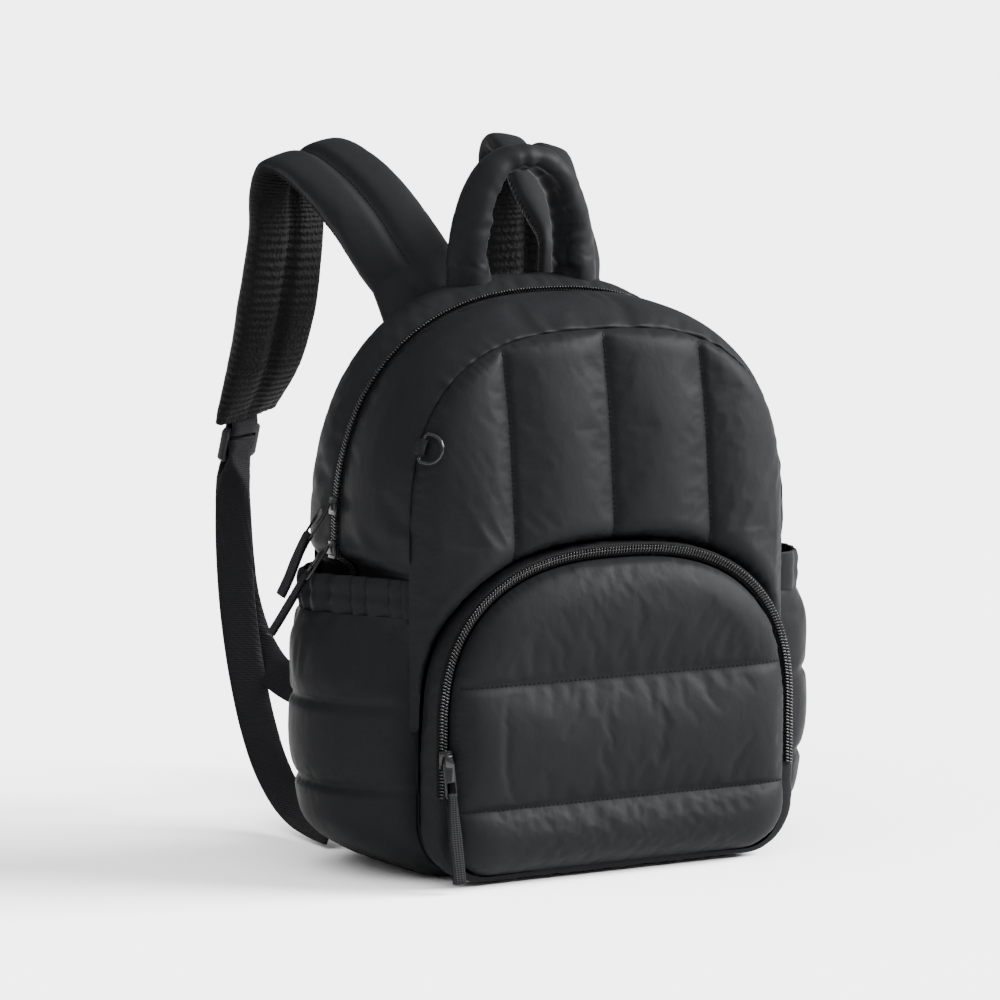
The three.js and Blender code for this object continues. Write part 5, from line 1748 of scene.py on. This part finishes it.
@dataclass(frozen=True)
class Finish:
    """One material: colours as linear values, and how its surface is made."""

    name: str
    dark: tuple[float, float, float]
    light: tuple[float, float, float]
    roughness: float
    pattern: Pattern = Pattern.PLAIN
    metallic: float = 0.0
    coat: float = 0.0
    shine: float = 0.055

    def build(self) -> bpy.types.Material:
        """Make the material's nodes.

        Returns:
            The material.
        """
        material = bpy.data.materials.new(self.name)
        material.use_nodes = True
        tree = material.node_tree
        shader = tree.nodes["Principled BSDF"]
        shader.inputs["Metallic"].default_value = self.metallic
        shader.inputs["Coat Weight"].default_value = self.coat
        shader.inputs["Specular IOR Level"].default_value = self.shine
        place = tree.nodes.new("ShaderNodeTexCoord")
        blotch = self._noise(tree, place.outputs["Object"], 26.0, 3.0)
        grain = self._noise(tree, place.outputs["Object"], 420.0, 2.0)
        blend = tree.nodes.new("ShaderNodeMix")
        blend.data_type = "RGBA"
        blend.inputs["A"].default_value = (*self.dark, 1)
        blend.inputs["B"].default_value = (*self.light, 1)
        tree.links.new((0.65 * blotch + 0.35 * grain).socket, blend.inputs["Factor"])
        tree.links.new(blend.outputs["Result"], shader.inputs["Base Color"])
        tree.links.new((self.roughness - 0.06 + 0.12 * blotch).socket, shader.inputs["Roughness"])
        normal = None
        for height, strength, distance in self._relief(tree, place, grain):
            bump = tree.nodes.new("ShaderNodeBump")
            bump.inputs["Strength"].default_value = strength
            bump.inputs["Distance"].default_value = distance
            tree.links.new(height.socket, bump.inputs["Height"])
            if normal is not None:
                tree.links.new(normal, bump.inputs["Normal"])
            normal = bump.outputs["Normal"]
        tree.links.new(normal, shader.inputs["Normal"])
        return material

    @staticmethod
    def _noise(tree: bpy.types.NodeTree, source: bpy.types.NodeSocket, scale: float, detail: float,
               stretch: tuple[float, float, float] = (1, 1, 1)) -> Value:
        """Noise over a coordinate, stretched if asked.

        Args:
            tree: the material's nodes.
            source: the coordinate.
            scale: the noise's scale.
            detail: its detail.
            stretch: scale along each axis.

        Returns:
            The noise, from 0 to 1.
        """
        turn = tree.nodes.new("ShaderNodeMapping")
        turn.inputs["Scale"].default_value = stretch
        tree.links.new(source, turn.inputs["Vector"])
        node = tree.nodes.new("ShaderNodeTexNoise")
        node.inputs["Scale"].default_value = scale
        node.inputs["Detail"].default_value = detail
        tree.links.new(turn.outputs["Vector"], node.inputs["Vector"])
        return Value(tree, node.outputs["Factor"] if "Factor" in node.outputs else node.outputs["Fac"])

    def _relief(self, tree: bpy.types.NodeTree, place: bpy.types.Node,
                grain: Value) -> list[tuple[Value, float, float]]:
        """Height, strength and distance of each bump layer of the pattern.

        Args:
            tree: the material's nodes.
            place: the coordinate node.
            grain: fine noise.

        Returns:
            One row for each layer.
        """
        source = place.outputs["Object"]
        split = tree.nodes.new("ShaderNodeSeparateXYZ")
        tree.links.new(source, split.inputs["Vector"])
        x, y, z = (Value(tree, split.outputs[axis]) for axis in "XYZ")
        if self.pattern is Pattern.NYLON:
            crinkle = self._noise(tree, source, 85.0, 5.0, (1.0, 1.0, 0.62))
            crease = (self._noise(tree, source, 38.0, 3.0) - 0.5).apply("ABSOLUTE") ** 0.6
            weave = ((x + y) * 5200.0).apply("SINE") * (z * 5200.0).apply("SINE")
            return [(crinkle, 0.24, 0.0020), (1.0 - crease, 0.12, 0.0020), (weave + grain, 0.12, 0.0003)]
        if self.pattern is Pattern.AIR_MESH:
            cells = tree.nodes.new("ShaderNodeTexVoronoi")
            cells.inputs["Scale"].default_value = 430.0
            tree.links.new(source, cells.inputs["Vector"])
            flat = tree.nodes.new("ShaderNodeUVMap")
            flat.uv_map = "run"
            along = tree.nodes.new("ShaderNodeSeparateXYZ")
            tree.links.new(flat.outputs["UV"], along.inputs["Vector"])
            ribs = (Value(tree, along.outputs["Y"]) * 16.5).apply("SINE")
            return [(ribs, 0.75, 0.0011), (Value(tree, cells.outputs["Distance"]), 0.8, 0.0011)]
        if self.pattern is Pattern.WEBBING:
            ribs = (z * 4400.0).apply("SINE") * 0.6 + ((x + y) * 3100.0).apply("SINE") * 0.4
            return [(ribs, 0.45, 0.0005), (grain, 0.25, 0.0003)]
        return [(grain, 0.08, 0.0003)]


FINISHES = {
    "nylon": Finish("Crinkled nylon", (0.0026, 0.0027, 0.0031), (0.0048, 0.0050, 0.0057), 0.60,
                    Pattern.NYLON),
    "mesh": Finish("Ribbed air mesh", (0.0016, 0.0016, 0.0018), (0.005, 0.005, 0.0055), 0.8,
                   Pattern.AIR_MESH),
    "webbing": Finish("Black webbing", (0.0025, 0.0025, 0.003), (0.0055, 0.0055, 0.0065), 0.62,
                      Pattern.WEBBING),
    "tape": Finish("Zip tape", (0.0015, 0.0015, 0.0018), (0.003, 0.003, 0.0035), 0.75, Pattern.WEBBING),
    "teeth": Finish("Zip coil", (0.003, 0.003, 0.0032), (0.006, 0.006, 0.0063), 0.36, coat=0.25),
    "thread": Finish("Sewing thread", (0.002, 0.002, 0.0023), (0.004, 0.004, 0.0045), 0.6),
    "plastic": Finish("Black plastic", (0.005, 0.005, 0.0055), (0.008, 0.008, 0.009), 0.36),
    "metal": Finish("Black lacquered metal", (0.006, 0.006, 0.0063), (0.011, 0.011, 0.0115), 0.32,
                    metallic=0.4, coat=0.25),
}


# Stage and assembly

@dataclass(frozen=True)
class Stage:
    """Pale floor, soft studio light and the photograph's camera, in metres."""

    target: tuple[float, float, float] = (-0.0226, 0.0191, 0.2324)
    azimuth: float = -30.0
    elevation: float = 7.0
    distance: float = 3.5
    lens: float = 190.9

    def _lamp(self, name: str, place: tuple, strength: float, spread: float) -> bpy.types.Object:
        """A soft far light from the side of place, spread in degrees.

        Args:
            name: the lamp's name.
            place: a point towards which it stands.
            strength: its strength.
            spread: its angle.

        Returns:
            The lamp.
        """
        light = bpy.data.lights.new(name, "SUN")
        light.energy, light.angle = strength, math.radians(spread)
        lamp = bpy.data.objects.new(name, light)
        lamp.location = place
        lamp.rotation_euler = (Vector(self.target) - lamp.location).to_track_quat("-Z", "Y").to_euler()
        bpy.context.scene.collection.objects.link(lamp)
        return lamp

    def build(self) -> None:
        """Put up the floor, lights, world and camera."""
        scene = bpy.context.scene
        mesh = bpy.data.meshes.new("floor")
        mesh.from_pydata([(-30, -30, 0), (30, -30, 0), (30, 30, 0), (-30, 30, 0)], [], [(0, 1, 2, 3)])
        floor = bpy.data.objects.new("floor", mesh)
        scene.collection.objects.link(floor)
        pale = bpy.data.materials.new("Pale floor")
        pale.use_nodes = True
        shader = pale.node_tree.nodes["Principled BSDF"]
        shader.inputs["Base Color"].default_value = (0.93, 0.93, 0.93, 1)
        shader.inputs["Roughness"].default_value = 0.9
        mesh.materials.append(pale)
        lamps = [self._lamp("key", (2.3, -1.1, 1.9), 20.0, 34.0),
                 self._lamp("fill", (-0.8, -0.6, 2.4), 5.0, 80.0)]
        world = bpy.data.worlds.new("Studio")
        world.use_nodes = True
        world.node_tree.nodes["Background"].inputs["Color"].default_value = (1, 1, 1, 1)
        world.node_tree.nodes["Background"].inputs["Strength"].default_value = 0.5
        scene.world = world
        azimuth, elevation = math.radians(self.azimuth), math.radians(self.elevation)
        back = Vector((math.sin(azimuth) * math.cos(elevation), -math.cos(azimuth) * math.cos(elevation),
                       math.sin(elevation)))
        lens = bpy.data.cameras.new("camera")
        lens.lens, lens.sensor_width = self.lens, 36.0
        camera = bpy.data.objects.new("camera", lens)
        camera.location = Vector(self.target) + back * self.distance
        camera.rotation_euler = (-back).to_track_quat("-Z", "Y").to_euler()
        scene.collection.objects.link(camera)
        scene.camera = camera


@dataclass
class Backpack:
    """The whole bag: lays out its pieces, swells them and finishes them."""

    nodes: dict[str, bpy.types.Object]
    form: BagForm = field(default_factory=BagForm)

    def _keep(self, piece: bpy.types.Object, slot: str, body: str = "bag") -> None:
        """Tie a finished piece to its CAD body.

        Args:
            piece: the finished piece.
            slot: its material slot in the record; not used.
            body: the CAD body that it moves with.
        """
        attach(piece, body)

    def _zips(self, paint: dict[str, bpy.types.Material], repeats: Repeats, band: PocketBand) -> None:
        """Main zip over the crown and pocket zip round its face.

        Args:
            paint: the materials.
            repeats: the group that repeats the teeth.
            band: the band that the pocket zip runs along.
        """
        form = self.form
        tooth = pellet("zip tooth", 3.2, 1.35, 2.0)
        tooth.data.transform(Matrix.Rotation(math.radians(72), 4, "Z"))
        points = [form.wall(station, 0.0) for station in form.wall_stations(2.0)]
        out = []
        for index in range(len(points)):
            ahead = points[min(index + 1, len(points) - 1)] - points[max(index - 1, 0)]
            out.append(Vector((-ahead.z, 0, ahead.x)).normalized())
        rim = band.rim(4.0, 2.0)
        foot = band.zip_foot_z
        count = next(i for i in range(1, len(rim)) if rim[i][0] > 100 and rim[i][1] < foot)
        left = [Vector((rim[0][0], band.face.zip_y, z)) for z in np.arange(foot, rim[0][1], 2.0)]
        arch = left + [Vector((x, band.face.zip_y, z)) for x, z in rim[:count]]
        for zipper in (Zip("main_zip_coil", "main_zip", points, out, lift=2.1),
                       Zip("pocket_zip_coil", "pocket_zip", arch, [Vector((0, -1, 0))] * len(arch))):
            self._keep(zipper.build(repeats, tooth, paint["tape"], paint["teeth"]), "zip")
        bpy.data.objects.remove(tooth)

    def build(self) -> None:
        """Build every piece."""
        paint = {key: finish.build() for key, finish in FINISHES.items()}
        form, cloth, repeats = self.form, Cloth(), Repeats()
        front, face = FrontPanel(form), PocketFace(form)
        band = PocketBand(face)
        soft = {"front_panel": front.build(cloth), "pocket_face": face.build(cloth),
                "band": band.build(cloth)}
        soft.update(BagBody(form).build(cloth))
        soft["handle"] = Handle(form).build(cloth)
        for side in (-1.0, 1.0):
            soft[f"pocket {side}"], soft[f"hem {side}"] = SidePocket(form, side).build(cloth)
        straps = [ShoulderStrap(form, side) for side in (-1.0, 1.0)]
        for strap in straps:
            soft[f"strap {strap.side}"] = strap.build(cloth, paint["nylon"], paint["mesh"])
        LOG.info("laid out %d soft pieces", len(soft))
        cloth.run()
        seams = {"front_panel": front.seam_lines, "pocket_face": face.seam_lines}
        seams.update({f"strap {strap.side}": strap.seam_lines for strap in straps})
        lines = {key: [[soft[key].data.vertices[index].co.copy() for index in line] for line in seams[key]]
                 for key in seams}
        thread = pellet("stitch", 2.5, 0.6, 0.5, 0.15)
        for key, piece in soft.items():
            finish = paint["mesh" if key == "back_panel" else "nylon"]
            if not key.startswith("strap"):
                piece.data.materials.clear()
                piece.data.materials.append(finish)
            subdivided(piece)
            for number, line in enumerate(lines.get(key, [])):
                piece = stitches(repeats, f"{key} stitches {number}", piece, line, thread, paint["thread"])
            self._keep(piece, "mesh" if key == "back_panel" else "nylon")
        self._zips(paint, repeats, band)
        bpy.data.objects.remove(thread)
        hardware = Hardware(self.nodes)
        for node in self.nodes:
            if node.startswith(("webbing", "strap_tab", "ribbon", "d_ring_tab")):
                finish = "nylon" if node.startswith("ribbon") else "webbing"
                self._keep(hardware.flexible(node, paint["webbing"]), finish)
            elif node.startswith(("ladder_lock", "slider", "pull")) or node == "d_ring":
                slot = "plastic" if node.startswith("ladder") else "metal"
                body = "d_ring" if node == "d_ring" else "bag"
                self._keep(hardware.rounded(node, paint[slot]), slot, body)


def main() -> None:
    """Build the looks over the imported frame."""
    logging.basicConfig(level=logging.INFO)
    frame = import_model()
    Stage().build()
    Backpack(frame["nodes"]).build()


if __name__ == "__main__":
    main()
